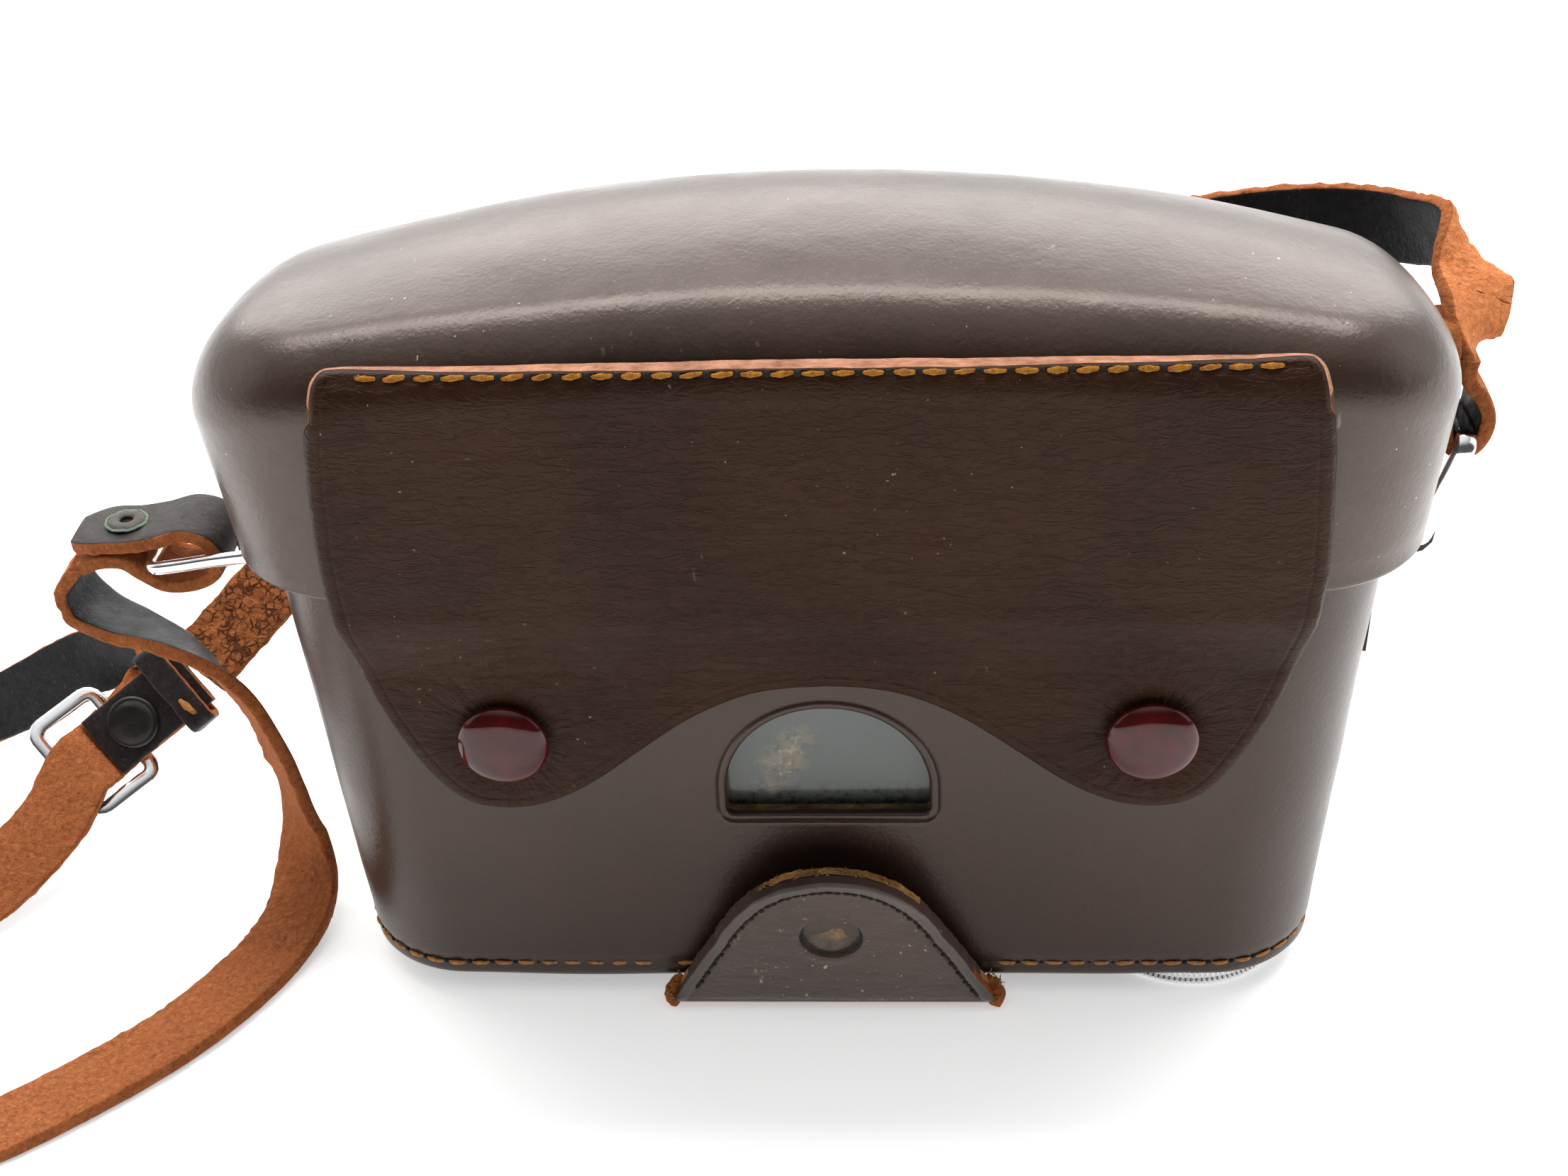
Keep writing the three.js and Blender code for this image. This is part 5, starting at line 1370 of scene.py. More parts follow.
def strip(name, path, span, body, replaces, mats=(M_SUEDE, M_SMOOTH, M_STRAP_EDGE), step=0.95,
          nap=0.12, fuzz=0.14, cup=0.0, taper=None):
    """Strap between two stations. nap and fuzz roughen the suede and the edges, cup curls it."""
    knots, points, normals, across, lengths = path
    start, end = np.interp(span, knots, lengths)
    count = max(6, int((end - start) / step))
    spots = np.linspace(start, end, count + 1)
    points, normals, across = (along(rows, spots, lengths) for rows in (points, normals, across))
    normals, across = unit(normals), unit(across)
    wide, thick, section_kinds = np.array(SECTION).T
    wide, thick = wide[:, None], thick[:, None]
    thick = thick + cup * (wide**2 - 0.4)
    rows = []
    for i in range(count + 1):
        half = STRAP_HALF * (taper((spots[i] - start) / (end - start)) if taper else 1.0)
        rows.append(points[i] + wide * half * across[i] + thick * normals[i])
    verts, faces = skin(rows, points[0], points[-1])
    kind = [int(k) for k in section_kinds]
    kinds = [kind[f[0] % len(kind)] if len(f) == 4 else 2 for f in faces]
    vert_kind = np.array(kind * (count + 1) + [2, 2])
    suede_push = field(verts, 2.6, 31) * nap + field(verts, 1.4, 32) * nap * 0.5
    push = np.where(vert_kind == 0, suede_push,
                    np.where(vert_kind == 2, field(verts, 1.9, 33) * fuzz,
                             field(verts, 8, 34) * 0.05))
    push[-2:] = 0
    return add(name, verts, faces, list(mats), kinds, body, replaces, sharp=62,
               push=push)


def spanning_strip(name, path, span, replaces, bodies, start, end, **look):
    """Strap laid between two bodies, baked in place and attached to neither."""
    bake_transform(strip(name, path, span, None, replaces, **look))


def folded_end(name, outline, sign, body, replaces, mats):
    points = np.array(outline)
    tangents = unit(np.gradient(points, axis=0))
    stations = [[x, 0, z, sign * tz, 0, -sign * tx] for (x, z), (tx, tz) in zip(points, tangents)]
    tip = lambda u: 1.0 - 0.34 * max(0.0, 1 - u / 0.10) ** 2.2
    strip(name, strap_path(stations, 0.9, 1600), (0, len(points) - 1), body, replaces, mats,
          step=0.6, nap=0.08, cup=0.12, fuzz=0.12, taper=tip)


def make_straps():
    spanning_strip("strap_left_leather", strap_path(LEFT_ROWS), (0, 24),
                   ["strap_left_curl", "strap_left_drop", "strap_left_run"], ("ring_l", "case"),
                   start=(-0.109, 0, 0.0615), end=(-0.109, 0, 0.0480))
    strip("strap_tongue_leather", strap_path(TONGUE_ROWS), (0, 8), "case", ["strap_tongue"])
    right = strap_path(RIGHT_ROWS)
    # the right strap takes the brighter suede copy, which is painted light
    pale = (M_SUEDE_PAINTED_LIT, M_SMOOTH, M_STRAP_EDGE)
    spanning_strip("strap_right_rise_leather", right, (0, 2.6), ["strap_right_rise"],
                   ("ring_r", "case"), start=(0.0852, 0.0001, 0.0905),
                   end=(0.0866, 0.0062, 0.0969), nap=0.24, fuzz=0.2, mats=pale)
    spanning_strip("strap_rear_right_leather", right, (2.6, 8), ["strap_rear_upper"],
                   ("case", "lid"), start=(0.085, 0.0110, 0.0995),
                   end=(0.085, 0.0265, 0.0995), nap=0.24, fuzz=0.2, mats=pale)
    spanning_strip("strap_rear_left_leather", right, (8, 18), ["strap_rear_lower"],
                   ("lid", "case"), start=(0, 0.034, 0.0785), end=(0, 0.034, 0.0665),
                   nap=0.26, fuzz=0.2, mats=(M_SUEDE_CRACKED, M_SMOOTH, M_STRAP_EDGE))
    folded_end("strap_end_left_leather", END_LEFT, 1, "ring_l", ["strap_end_left"],
               (M_SUEDE, M_SMOOTH_END, M_STRAP_EDGE))
    folded_end("strap_end_right_leather", END_RIGHT, -1, "ring_r", ["strap_end_right"],
               (M_SMOOTH_END, M_SUEDE, M_STRAP_EDGE))


make_straps()

# ---------------------------------------------------------------- eyelets
# radius, height
EYELET_PROFILE = [(0.95, -1.0), (0.95, 0.1), (1.12, 0.3), (1.5, 0.4), (2.1, 0.36), (2.6, 0.2),
                  (2.78, 0.0), (2.78, -0.3), (1.6, -0.4), (1.4, -1.0)]
BLOOM_PROFILE = [(2.66, -0.1), (2.74, 0.14), (3.0, 0.1), (3.12, -0.02), (3.0, -0.2)]


def eyelet(name, axes, centre, body):
    """A ring, a dark disc as painted shade in its hole, and a crust round its rim."""
    metal_verts, metal_faces = lathe(EYELET_PROFILE)
    metal_verts[:, 2] += 0.03 * np.cos(3 * polar(metal_verts)[1])
    floor_verts, floor_faces = revolve([(0, -0.75), (0.97, -0.75), (0.97, -0.98), (0, -0.98)], 32)
    bloom_verts, bloom_faces = lathe(BLOOM_PROFILE, 60)
    angle = polar(bloom_verts)[1]
    bloom_verts[:, 2] += 0.05 * np.sin(7 * angle) + 0.03 * np.sin(17 * angle + 1)
    verts, faces, kinds = merge([(metal_verts, metal_faces, 0),
                                 (floor_verts, outward(floor_verts, floor_faces), 1),
                                 (bloom_verts, bloom_faces, 2)])
    add(name + "_ring", basis(verts, *axes, centre), faces, [M_EYELET, M_HOLE_SHADE, M_BLOOM], kinds,
        body, [name], sharp=40, orient=False)


eyelet("strap_eyelet_left", ((1, 0, 0), (0, 1, 0), (0, 0, 1)), (-100.3, 0, 67.0), "ring_l")
eyelet("strap_eyelet_right", ((0, 1, 0), (0, 0, -1), (-1, 0, 0)), (80.95, 0, 89.5), "ring_r")


# ---------------------------------------------------------------- metal loops
def bar_loop(name, centre, axes, halves, corner_r, wide, thick, body, replaces):
    """Rounded rectangular loop of flat bar; wide and thick are the bar's half sizes."""
    first, second = axes
    flat = resample(rounded(*halves, corner_r, 8)[:, :2], 0.7, True)
    path = centre + flat[:, :1] * first + flat[:, 1:] * second
    normal = unit(np.cross(first, second))
    tangents = unit(np.roll(path, -1, 0) - np.roll(path, 1, 0))
    sides = 16
    squared = lambda v: math.copysign(abs(v) ** 0.62, v)
    verts = []
    for point, tangent in zip(path, tangents):
        out = np.cross(tangent, normal)
        for k in range(sides):
            angle = 2 * math.pi * k / sides
            verts.append(point + out * wide * squared(math.cos(angle))
                         + normal * thick * squared(math.sin(angle)))
    verts = np.array(verts)
    verts += normal * (field(verts, 9, 51) * 0.05)[:, None]
    add(name, verts, tube_faces(len(path), sides, closed=True), M_CHROME, None, body,
        replaces, sharp=60)


def strap_ring(side, lug_x, far_end, thick, body):
    lug, far = np.array([lug_x, 0, LUG_Z]), np.array(far_end)
    length = np.linalg.norm(far - lug)
    bar_loop("ring_%s_wire" % side, (lug + far) / 2,
             ((far - lug) / length, np.array([0, 1.0, 0])), (length / 2, 7.0), 2.0,
             wide=0.8, thick=thick, body=body, replaces=["ring_" + side])


strap_ring("left", -LUG_X, (-96.1, 0, 62.9), 0.95, "ring_l")
strap_ring("right", LUG_X, (85.2, 0, 81.0), 1.45, "ring_r")
bar_loop("buckle_frame_chrome", buckle_place(8.2, -0.6, -0.2),
         (unit(BUCKLE_ALONG + 0.38 * BUCKLE_N), BUCKLE_ACROSS), (5.6, 8.4), 1.8,
         wide=1.25, thick=0.78, body="buckle", replaces=["buckle_frame"])

# ---------------------------------------------------------------- buckle leather
BUCKLE_ROWS = [buckle_row(length, 0, 0, -BUCKLE_N) for length in (-12, -9, -6, -3, 0, 3, 5.2, 6.6)]
strip("buckle_strap_leather", strap_path(BUCKLE_ROWS, 0.9, 1000), (0, 7), "case",
      ["buckle_strap"], (M_SUEDE, M_BUCKLE, M_STRAP_EDGE), step=0.6, nap=0.08, fuzz=0.12,
      cup=0.08)


def keeper():
    """Leather band round the strap beside the buckle, with one thread across it."""
    path = resample(rounded(7.8, 2.6, 1.5, 8), 0.5, True)
    thick = 1.3
    low, high = -10.8, -6.4
    # distance out from the path, place along the strap, face kind
    section = [
        (0.0, low + 0.35, 0), (0.0, low + 1.4, 0), (0.0, (low + high) / 2, 0),
        (0.0, high - 1.4, 0), (0.0, high - 0.35, 0), (-0.12, high - 0.1, 1), (-0.4, high, 1),
        (-0.8, high, 1), (-thick + 0.1, high - 0.05, 1), (-thick, high - 0.3, 2),
        (-thick, low + 0.3, 1), (-thick + 0.1, low + 0.05, 1), (-0.8, low, 1), (-0.4, low, 1),
        (-0.12, low + 0.1, 0)]
    verts = np.array([buckle_place(length, across + out_across * out, height + out_height * out)
                      for across, height, out_across, out_height in path
                      for out, length, _ in section])
    add("strap_keeper_leather", verts, tube_faces(len(path), len(section), closed=True),
        [M_BUCKLE, M_STRAP_EDGE, M_SUEDE], [kind for _, _, kind in section] * len(path), "case",
        ["strap_keeper"], sharp=60, push=field(verts, 3.0, 61) * 0.06)
    points = np.array([buckle_place(-8.4 - 0.35 * t, 1.9 + 3.9 * t, 2.62)
                       for t in np.linspace(0, 1, 20)])
    stitches("strap_keeper_thread", [(points, np.tile(BUCKLE_N, (20, 1)))], M_THREAD, "case",
             "leather_strap", seed=5, pitch=3.9, length=3.7, width=0.55, height=0.3, lift=0.08)


def buckle_rivet():
    # radius, height over the strap's middle
    verts, faces = revolve([(0, 1.42), (1.2, 1.44), (2.2, 1.5), (2.9, 1.62), (3.3, 1.82),
                            (3.65, 1.95), (3.95, 1.9), (4.15, 1.7), (4.2, 1.4), (4.15, 1.0),
                            (0, 0.95)], 60)
    radius, angle = polar(verts)
    ripple = 0.04 * np.cos(2 * angle + 0.6) + 0.03 * np.cos(5 * angle)
    verts[:, 2] += ripple * (radius / 4.2) * (verts[:, 2] > 1.2)
    verts = basis(verts, BUCKLE_ALONG, BUCKLE_ACROSS, BUCKLE_N, BUCKLE_O)
    add("buckle_rivet_disc", verts, faces, M_DISC, None, "case", ["buckle_rivet"],
        sharp=50)


keeper()
buckle_rivet()

# ---------------------------------------------------------------- front tab
# the tab is drawn upright, then leant back about a line near its foot
LEAN_Y, LEAN_Z, LEAN = -27.7, 1.2, math.radians(10)
TAB_RIVET_Z = 17.4
FRONT_FOOT_Z, LINING_FOOT_Z, LINING_INSET = 0.95, 2.9, 0.1
# right half of the outline above the foot, going up: x, z
TAB_OUTLINE = [(22.4, 4.1), (20.5, 7.8), (18.4, 12.0), (16.3, 16.0), (14.6, 19.3), (12.5, 22.4),
               (10.1, 25.0), (7.5, 26.9), (4.7, 28.1), (2.2, 28.6)]


def lean(points):
    x, y, z = np.asarray(points, float).T
    y, z = y - LEAN_Y, z - LEAN_Z
    return np.column_stack([x, LEAN_Y + y * math.cos(LEAN) - z * math.sin(LEAN),
                            LEAN_Z + y * math.sin(LEAN) + z * math.cos(LEAN)])


def tab_outline(inset, foot_z):
    half = [(24 - (foot_z - 0.9) * 0.5 - inset, foot_z)]
    half += [(x - inset, z - inset * 0.5) for x, z in TAB_OUTLINE]
    whole = half + [(0, 28.8 - inset * 0.5)] + [(-x, z) for x, z in half[::-1]]
    return resample(catmull(whole, np.linspace(0, len(whole) - 1, 400)), 0.5, True)


def tab_layer(name, replaces, inset, foot_z, front_y, back_y, mats, seed, is_front):
    loop = tab_outline(inset, foot_z)
    flat = with_zeros(loop)
    ragged = field(flat, 5, seed) * 0.10 + field(flat, 1.2, seed + 1) * (0.05 if is_front else 0.16)
    ragged = np.where(loop[:, 1] > 2.5, ragged, ragged * 0.3)
    loop = loop + unit(loop - np.array([0, 10.0])) * ragged[:, None]
    hub = (0, TAB_RIVET_Z, (3.6, 4.0, 4.2, 4.32, 4.44, 4.56, 4.75, 5.0, 5.4), 72)
    insets = [0.14, 0.34, 0.6, 0.9, 1.2, 1.45, 1.65, 1.85, 2.1, 2.5]
    points, triangles, edge = sheet(loop, insets, 0.62, hub if is_front else None)
    x, z = points.T
    place = np.column_stack([x, np.zeros_like(x), z])
    y = np.full(len(x), front_y)
    foot = np.maximum(3.4 - z, 0) ** 2
    if is_front:
        bead = -0.16 * hump(edge - 0.85, 0.45) + 0.34 * fade(edge, 0.5)
        groove = 0.13 * hump(edge - 1.72, 0.3)
        y += (bead + groove) * smooth((z - 1.4) / 1.6)
        y -= 0.22 * hump(x, 15) * smooth(edge / 4)
        y += field(place * [0.25, 1, 1], 1.9, seed + 3) * 0.045 * smooth((edge - 2) / 1.5)
        # the rivet's sunk seat and its raised rim
        radius = np.hypot(x, z - TAB_RIVET_Z)
        y += 0.95 * (1 - smooth((radius - 4.2) / 0.3)) - 0.1 * hump(radius - 5.0, 0.5)
    else:
        y += field(place, 4, seed + 3) * 0.08 + 0.15 * fade(edge, 0.6)
    # the foot turns in under the case
    front = np.column_stack([x, y + 0.17 * foot, z])
    back = np.column_stack([x, back_y + (0.1 * foot if is_front else 0 * foot), z])

    def edge_kind(centre):
        if is_front:
            raw = (centre[2] < 8.5 and centre[0] > 0) or centre[2] < 3.2
        else:
            raw = (-8.5 < centre[0] < 12.5 and centre[2] > 20) or centre[2] < 6
        return 2 if raw else 3

    verts, faces, kinds = thicken(triangles, len(loop), front, back, (0.25, 0.55, 0.82), edge_kind)
    if is_front:
        for i, triangle in enumerate(triangles):
            if edge[list(triangle)].mean() < 1.25:
                kinds[i] = 4
    add(name, lean(verts), faces, mats, kinds, "tab", replaces, sharp=50)


def fibres(name, path, seed, count, size, body, spread, out):
    """Short torn fibres along a cut edge, leaning towards out."""
    random = np.random.default_rng(seed)
    lengths = arc_lengths(path)
    parts = []
    rows, sides = 4, 5
    for _ in range(count):
        spot = random.uniform(0, lengths[-1])
        root = along(path, spot, lengths)
        tangent = along(path, min(spot + 0.3, lengths[-1]), lengths) - root
        tangent /= max(np.linalg.norm(tangent), 1e-9)
        root = root + random.normal(size=3) * np.asarray(spread)
        course = unit(tangent * random.choice([-1, 1])
                      + np.asarray(out) * random.uniform(0.1, 0.8) + random.normal(size=3) * 0.25)
        length = size * random.uniform(0.5, 1.6)
        thick = size * 0.16 * random.uniform(0.7, 1.4)
        up = unit(np.cross(course, random.normal(size=3)))
        side = np.cross(course, up)
        verts = []
        for k in range(rows):
            u = k / (rows - 1)
            radius = thick * (1 - 0.75 * u)
            middle = root + course * length * u + up * length * 0.25 * u * u
            for j in range(sides):
                angle = 2 * math.pi * j / sides
                verts.append(middle + side * math.cos(angle) * radius
                             + up * math.sin(angle) * radius)
        parts.append((np.array(verts), outward(verts, tube_faces(rows, sides)), 0))
    verts, faces, _ = merge(parts)
    add(name, verts, faces, M_FIBRE, None, body, sharp=0, orient=False)


def lining_fibres():
    """Fibres along the top of the tab's lining."""
    loop = tab_outline(LINING_INSET, LINING_FOOT_Z)
    top = loop[(loop[:, 1] > 25.2) & (loop[:, 0] > -10) & (loop[:, 0] < 12)]
    x, z = top[np.argsort(top[:, 0])].T
    fibres("front_tab_fibres", lean(np.column_stack([x, np.full(len(x), -27.1), z])), 91, 150,
           0.62, "tab", spread=(0.05, 0.25, 0.12), out=(0, -0.1, 1.0))


def tab_stitching():
    """Dark thread inside the tab's edge."""
    loop = tab_outline(0.0, FRONT_FOOT_Z)
    run = loop[loop[:, 1] > 3.4]
    run = run[np.argsort(np.arctan2(run[:, 1] - 2.0, run[:, 0]))]
    tangents = unit(np.gradient(run, axis=0))
    x, z = (run + np.column_stack([-tangents[:, 1], tangents[:, 0]]) * 1.72).T
    points = lean(np.column_stack([x, np.full(len(x), -29.42), z]))
    normals = np.tile([0, -math.cos(LEAN), -math.sin(LEAN)], (len(points), 1))
    stitches("front_tab_stitching", [(points, normals)], M_THREAD_DARK, "tab", "leather_flap",
             seed=300, pitch=2.35, length=1.5, width=0.2, height=0.14, lift=0.02, hole=0.46)


def tab_rivet():
    """Rivet sunk in the tab, with a dark green crust ring whose darkness is partly painted shade at
    the recess's rim; local Z runs into the case.
    """
    disc, disc_faces = revolve([(0, -0.10), (1.5, -0.08), (2.8, 0.0), (3.6, 0.08), (3.95, 0.2),
                                (4.05, 0.5), (2.1, 0.6), (2.1, 2.9), (0, 2.9)], 56)
    radius, angle = polar(disc)
    disc[:, 2] += np.where(disc[:, 2] < 0.55, 0.16 + 0.11 * disc[:, 1], 0)
    dents = (0.05 * np.cos(angle * 2 + 1) + 0.04 * np.cos(3 * angle)) * radius / 4
    disc[:, 2] += np.where(disc[:, 2] < 0.3, dents, 0)
    # the crust ring, its dark colour partly painted shade
    crust, crust_faces = lathe([(3.9, 0.35), (3.95, 0.05), (4.2, -0.12), (4.42, -0.02),
                                (4.45, 0.4), (4.1, 0.55)], 64)
    angle = polar(crust)[1]
    crust[:, 2] += 0.05 * np.sin(9 * angle) + 0.03 * np.sin(23 * angle)
    verts, faces, kinds = merge([(disc, outward(disc, disc_faces), 0), (crust, crust_faces, 1)])
    placed = np.column_stack([verts[:, 0], -28.78 + verts[:, 2], TAB_RIVET_Z + verts[:, 1]])
    add("front_tab_rivet_head", lean(placed), [f[::-1] for f in faces],
        [M_RIVET_FACE, M_RIVET_CRUST_AND_SHADE], kinds, "tab", ["front_tab_rivet"], sharp=50,
        orient=False)


def torn_end(name, side):
    """Torn leather end under one of the tab's lower corners."""
    path = resample([(side * 22.8, -29.0, 1.5), (side * 23.6, -28.5, 1.5),
                     (side * 23.8, -27.8, 2.1), (side * 23.3, -27.1, 3.1),
                     (side * 22.2, -26.6, 4.3)], 0.35)
    sides, last = 12, len(path) - 1
    verts = []
    for i, point in enumerate(path):
        tangent = unit(path[min(i + 1, last)] - path[max(i - 1, 0)])
        across = unit(np.cross(tangent, (0, 0, 1)))
        up = np.cross(across, tangent)
        size = math.sin(math.pi * (0.12 + 0.8 * i / last)) ** 0.6
        for k in range(sides):
            angle = 2 * math.pi * k / sides
            verts.append(point + across * math.cos(angle) * 1.15 * size
                         + up * math.sin(angle) * 1.25 * size)
    verts = np.array(verts)
    verts[:, 2] = np.maximum(verts[:, 2], 0.6)
    add(name, verts, tube_faces(len(path), sides), M_TORN, None, "case", sharp=0,
        push=field(verts, 1.3, 410) * 0.22)
    fibres(name + "_fibres", path + np.array([side * 0.3, -0.3, 0.8]), 420 + (side > 0), 34, 0.8,
           "case", spread=(0.25, 0.25, 0.3), out=(side * 0.5, -0.3, 0.7))


tab_layer("front_tab_leather", ["front_tab"], 0.0, FRONT_FOOT_Z, front_y=-29.4, back_y=-27.72,
          mats=[M_TAB, M_RAW_DARK, M_TORN, M_TAB_EDGE, M_BEAD], seed=71, is_front=True)
tab_layer("front_tab_lining_leather", ["front_tab_lining"], LINING_INSET, LINING_FOOT_Z,
          front_y=-27.62, back_y=-26.3, mats=[M_TAB_EDGE, M_INSIDE, M_FIBRE, M_TAB_EDGE],
          seed=81, is_front=False)
lining_fibres()
tab_stitching()
tab_rivet()
torn_end("tab_torn_end_left", -1)
torn_end("tab_torn_end_right", 1)


# ---------------------------------------------------------------- knurled retaining screw
def screw():
    segments = 360
    centre_x, centre_y = 52.5, -9
    head_r, thread_r = 15.2, 3.1
    angle = np.arange(segments) * 2 * math.pi / segments

    def circle(radius, z):
        return np.column_stack([centre_x + radius * np.cos(angle),
                                centre_y + radius * np.sin(angle), np.full(segments, z)])

    rows = [circle(*row) for row in ((13.2, 0.06), (13.5, 0.28), (14.6, 0.3), (14.95, 0.42))]
    for i in range(9):
        # two crossing sets of 120 grooves
        shift = 2.2 * i / 8
        waves = [np.abs((angle * 60 / math.pi + turn) % 1 - 0.5) for turn in (shift, -shift)]
        groove = 1 - np.clip(np.minimum(*waves) * 2 * 1.6, 0, 1)
        rows.append(circle(head_r - 0.36 * groove, 0.55 + 1.75 * i / 8))
    rows += [circle(*row) for row in ((14.95, 2.48), (14.6, 2.62), (5.0, 2.7), (3.4, 2.7),
                                      (thread_r, 2.85))]
    for i in range(12):
        z = 3.1 + 0.5 * i
        rows.append(circle(thread_r - 0.16 * (0.5 + 0.5 * np.cos(angle - z * 2 * math.pi)), z))
    rows += [circle(2.7, 9.1), circle(2.3, 9.3)]
    verts, faces = skin(rows, (centre_x, centre_y, 0.05), (centre_x, centre_y, 9.3))
    add("retaining_screw_knurled", verts, faces, M_KNURL, None, "screw",
        ["retaining_screw"], sharp=34)


screw()


# ---------------------------------------------------------------- back hinge leather
def hinge():
    half_width, low, high = 56.0, 57.0, 90.0
    seam_inset = 2.1
    corners = rounded(half_width, (high - low) / 2, 3.0, 7)[:, :2] + [0, (low + high) / 2]
    loop = resample(corners, 0.9, True)
    points, triangles, edge = sheet(loop, [0.2, 0.5, 1.0, 1.6, seam_inset, 2.6, 3.4], 1.5)
    x, z = points.T
    place = np.column_stack([x, np.zeros_like(x), z])
    y = 27.62 - 0.3 * fade(edge, 0.7) - 0.18 * hump(edge - seam_inset, 0.3)
    y += field(place, 16, 95) * 0.06 * smooth(edge / 3) - 0.25 * hump(z - SPLIT_Z, 1.6)
    front = np.column_stack([x, y, z])
    back = np.column_stack([x, np.full(len(x), 26.32), z])
    verts, faces, kinds = thicken(triangles, len(loop), front, back, (0.3, 0.7))
    piece = add("back_hinge_leather_piece", verts, faces, [M_FLAP, M_INSIDE, M_RAW_DARK], kinds,
                None, ["back_hinge_leather"], sharp=50)
    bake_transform(piece)
    seam_x = np.linspace(-half_width + 3, half_width - 3, 200)
    for name, z, body, seed in (("back_hinge_stitch_low", low + seam_inset, "case", 500),
                                ("back_hinge_stitch_high", high - seam_inset, "lid", 520)):
        path = np.column_stack([seam_x, np.full(200, 27.42), np.full(200, z)])
        stitches(name, [(path, np.tile([0, 1.0, 0], (200, 1)))], M_THREAD_TOP, body,
                 "leather_case", seed=seed, pitch=3.5, length=2.8, width=0.4, height=0.28,
                 hole=0.38)


hinge()

# ---------------------------------------------------------------- pieces kept from the frame
# node, material, bevel width
DRESSED = [
    ("window_pane", M_WINDOW, 0.1), ("bottom_strip", M_BOTTOM, 0.5),
    ("strap_lug_left", M_LUG, 0.3), ("strap_lug_right", M_LUG, 0.3),
    ("snap_stud_left", M_STUD, 0.15), ("snap_stud_right", M_STUD, 0.15),
    ("camera_body", M_PAINT, 0.3), ("camera_back", M_LEATHERETTE, 0.4),
    ("bottom_plate", M_SATIN, 0.3), ("tripod_bush", M_ALLOY, 0.2), ("top_cover", M_SATIN, 0.45),
    ("finder_front_glass", M_FINDER, 0.1), ("finder_eyepiece", M_FINDER, 0.15),
    ("accessory_shoe", M_CHROME, 0.2), ("leatherette_front", M_LEATHERETTE, 0.15),
    ("film_cassette", M_BRASS, 0.25), ("film_gate", M_MATT, 0.1),
    ("pressure_plate", M_MATT, 0.2), ("lens_barrel", M_ALLOY, 0.2), ("front_lens", M_LENS, 0.0),
    ("shutter_blades", M_MATT, 0.05), ("wind_knob", M_CHROME, 0.12),
    ("takeup_spool", M_SPOOL, 0.2), ("sprocket", M_SATIN, 0.12),
    ("frame_counter_dial", M_DIAL, 0.08), ("rewind_knob", M_CHROME, 0.12),
    ("supply_spool", M_SPOOL, 0.2), ("shutter_button", M_CHROME, 0.15),
    ("speed_ring", M_PAINT, 0.1), ("aperture_ring", M_SATIN, 0.1), ("focus_ring", M_SATIN, 0.1),
    ("front_bezel", M_PAINT, 0.15)]


def dress(node, mat, width):
    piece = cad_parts[node]
    mesh = piece.data
    mesh.materials.clear()
    mesh.materials.append(mat)
    mesh.polygons.foreach_set("use_smooth", [True] * len(mesh.polygons))
    if width:
        bevel = piece.modifiers.new("edge", "BEVEL")
        bevel.width = width * MM
        bevel.segments = 3
        bevel.limit_method = "ANGLE"
        bevel.angle_limit = math.radians(32)
    mesh.set_sharp_from_angle(angle=math.radians(38))


for entry in DRESSED:
    dress(*entry)


# ---------------------------------------------------------------- floor, light, camera (metres)
def floor():
    half = 3.0
    mesh = bpy.data.meshes.new("floor")
    mesh.from_pydata([(-half, -half, 0), (half, -half, 0), (half, half, 0), (-half, half, 0)], [],
                     [(0, 1, 2, 3)])
    m = Paint("floor_white", (0.86, 0.86, 0.855))
    m.bump(m.noise(1.2, rough=0.6), depth=0.02)
    m.layer(m.noise(180, detail=2, rough=0.5), (0.9, 0.9, 0.9))
    mesh.materials.append(m.finish(rough=0.75, spec=0.15, glow=(1.0, 1.0, 1.0),
                                   glow_strength=0.43))
    piece = bpy.data.objects.new("floor", mesh)
    bpy.context.scene.collection.objects.link(piece)


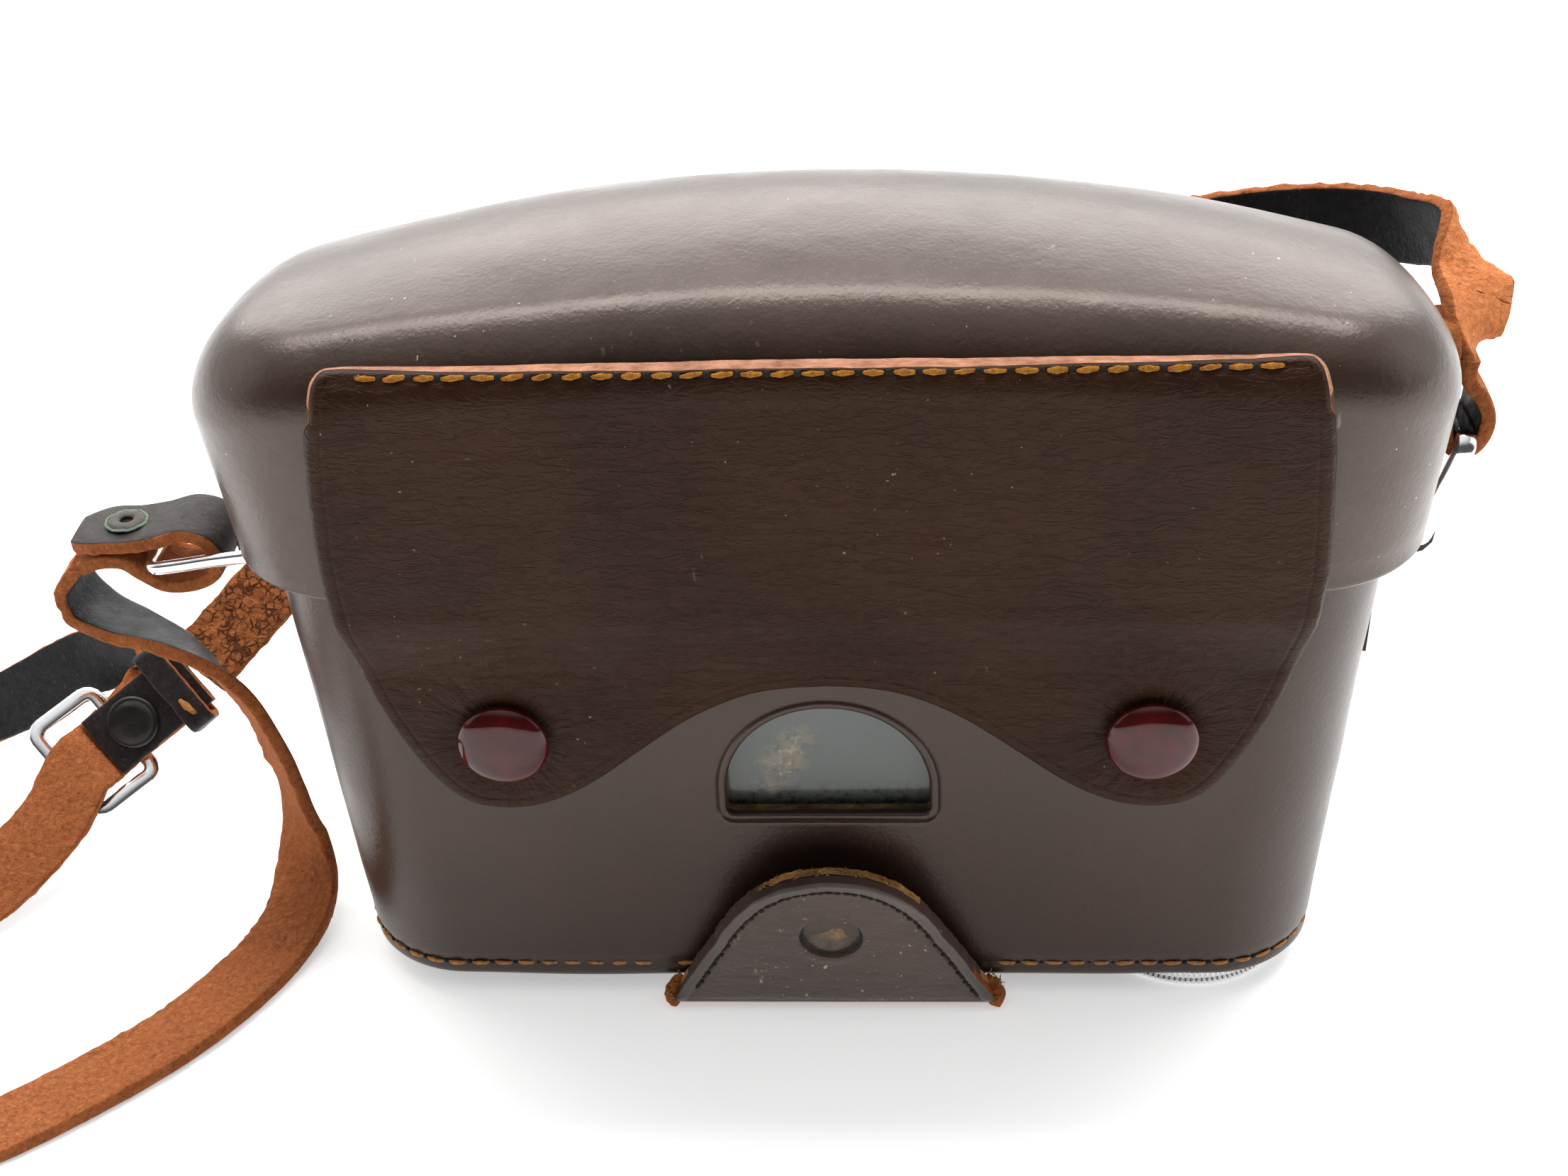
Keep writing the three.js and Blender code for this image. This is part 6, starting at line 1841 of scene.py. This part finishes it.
def studio_world():
    """White all round, dimmer low down on the camera's side."""
    world = bpy.data.worlds.new("studio")
    bpy.context.scene.world = world
    world.use_nodes = True
    nodes, links = world.node_tree.nodes, world.node_tree.links
    background = nodes["Background"]
    split = nodes.new("ShaderNodeSeparateXYZ")
    links.new(nodes.new("ShaderNodeTexCoord").outputs["Generated"], split.inputs[0])
    brightest = nodes.new("ShaderNodeMath")
    brightest.operation = "MAXIMUM"
    # upward, then backward
    for slot, (axis, low, high) in enumerate(((2, 0.5, 0.95), (1, -0.5, 0.5))):
        ease = nodes.new("ShaderNodeMapRange")
        ease.interpolation_type = "SMOOTHSTEP"
        ease.inputs[1].default_value = low
        ease.inputs[2].default_value = high
        links.new(split.outputs[axis], ease.inputs[0])
        links.new(ease.outputs[0], brightest.inputs[slot])
    strength = nodes.new("ShaderNodeMapRange")
    strength.inputs[3].default_value = 0.09
    strength.inputs[4].default_value = 1.0
    links.new(brightest.outputs[0], strength.inputs[0])
    links.new(strength.outputs[0], background.inputs["Strength"])
    background.inputs["Color"].default_value = (1.0, 1.0, 1.0, 1)


def area_light(name, place, aim, size, power, color=(1, 1, 1)):
    light = bpy.data.lights.new(name, "AREA")
    light.shape = "RECTANGLE"
    light.size, light.size_y = size
    light.energy = power
    light.color = color
    lamp = bpy.data.objects.new(name, light)
    bpy.context.scene.collection.objects.link(lamp)
    lamp.location = place
    lamp.rotation_mode = "QUATERNION"
    lamp.rotation_quaternion = (Vector(aim) - Vector(place)).to_track_quat("-Z", "Y")


def view_camera():
    camera = bpy.data.cameras.new("view")
    view = bpy.data.objects.new("view", camera)
    scene = bpy.context.scene
    scene.collection.objects.link(view)
    # degrees: downward, to the right, and about the line of sight
    pitch, yaw, roll = (math.radians(v) for v in (32.57979, -3.64666, -2.46904))
    forward = Vector((math.sin(yaw) * math.cos(pitch), math.cos(yaw) * math.cos(pitch),
                      -math.sin(pitch)))
    right = Vector((math.cos(yaw), -math.sin(yaw), 0))
    up = right.cross(forward)
    rolled_right = right * math.cos(roll) + up * math.sin(roll)
    rolled_up = -right * math.sin(roll) + up * math.cos(roll)
    pose = Matrix((rolled_right, rolled_up, -forward)).transposed().to_4x4()
    pose.translation = Vector((0.00982, -0.25722, 0.21925))
    view.matrix_world = pose
    camera.sensor_width = 36
    camera.lens = 48.824593
    camera.clip_start = 0.01
    camera.clip_end = 20
    scene.camera = view
    scene.view_settings.view_transform = "Standard"
    scene.view_settings.look = "None"


floor()
studio_world()
area_light("back_panel", (0.0, 1.35, 0.85), aim=(0, 0.0, 0.08), size=(3.0, 0.95), power=31.0,
           color=(1.0, 0.985, 0.965))
area_light("key_top", (0.0, 0.22, 1.0), aim=(0, 0.0, 0.05), size=(1.3, 0.30), power=13.0)
area_light("left_fill", (-1.0, -0.1, 0.5), aim=(0, 0, 0.05), size=(0.7, 0.7), power=1.2)
area_light("right_fill", (1.0, -0.05, 0.5), aim=(0, 0, 0.05), size=(0.7, 0.7), power=1.2)
view_camera()
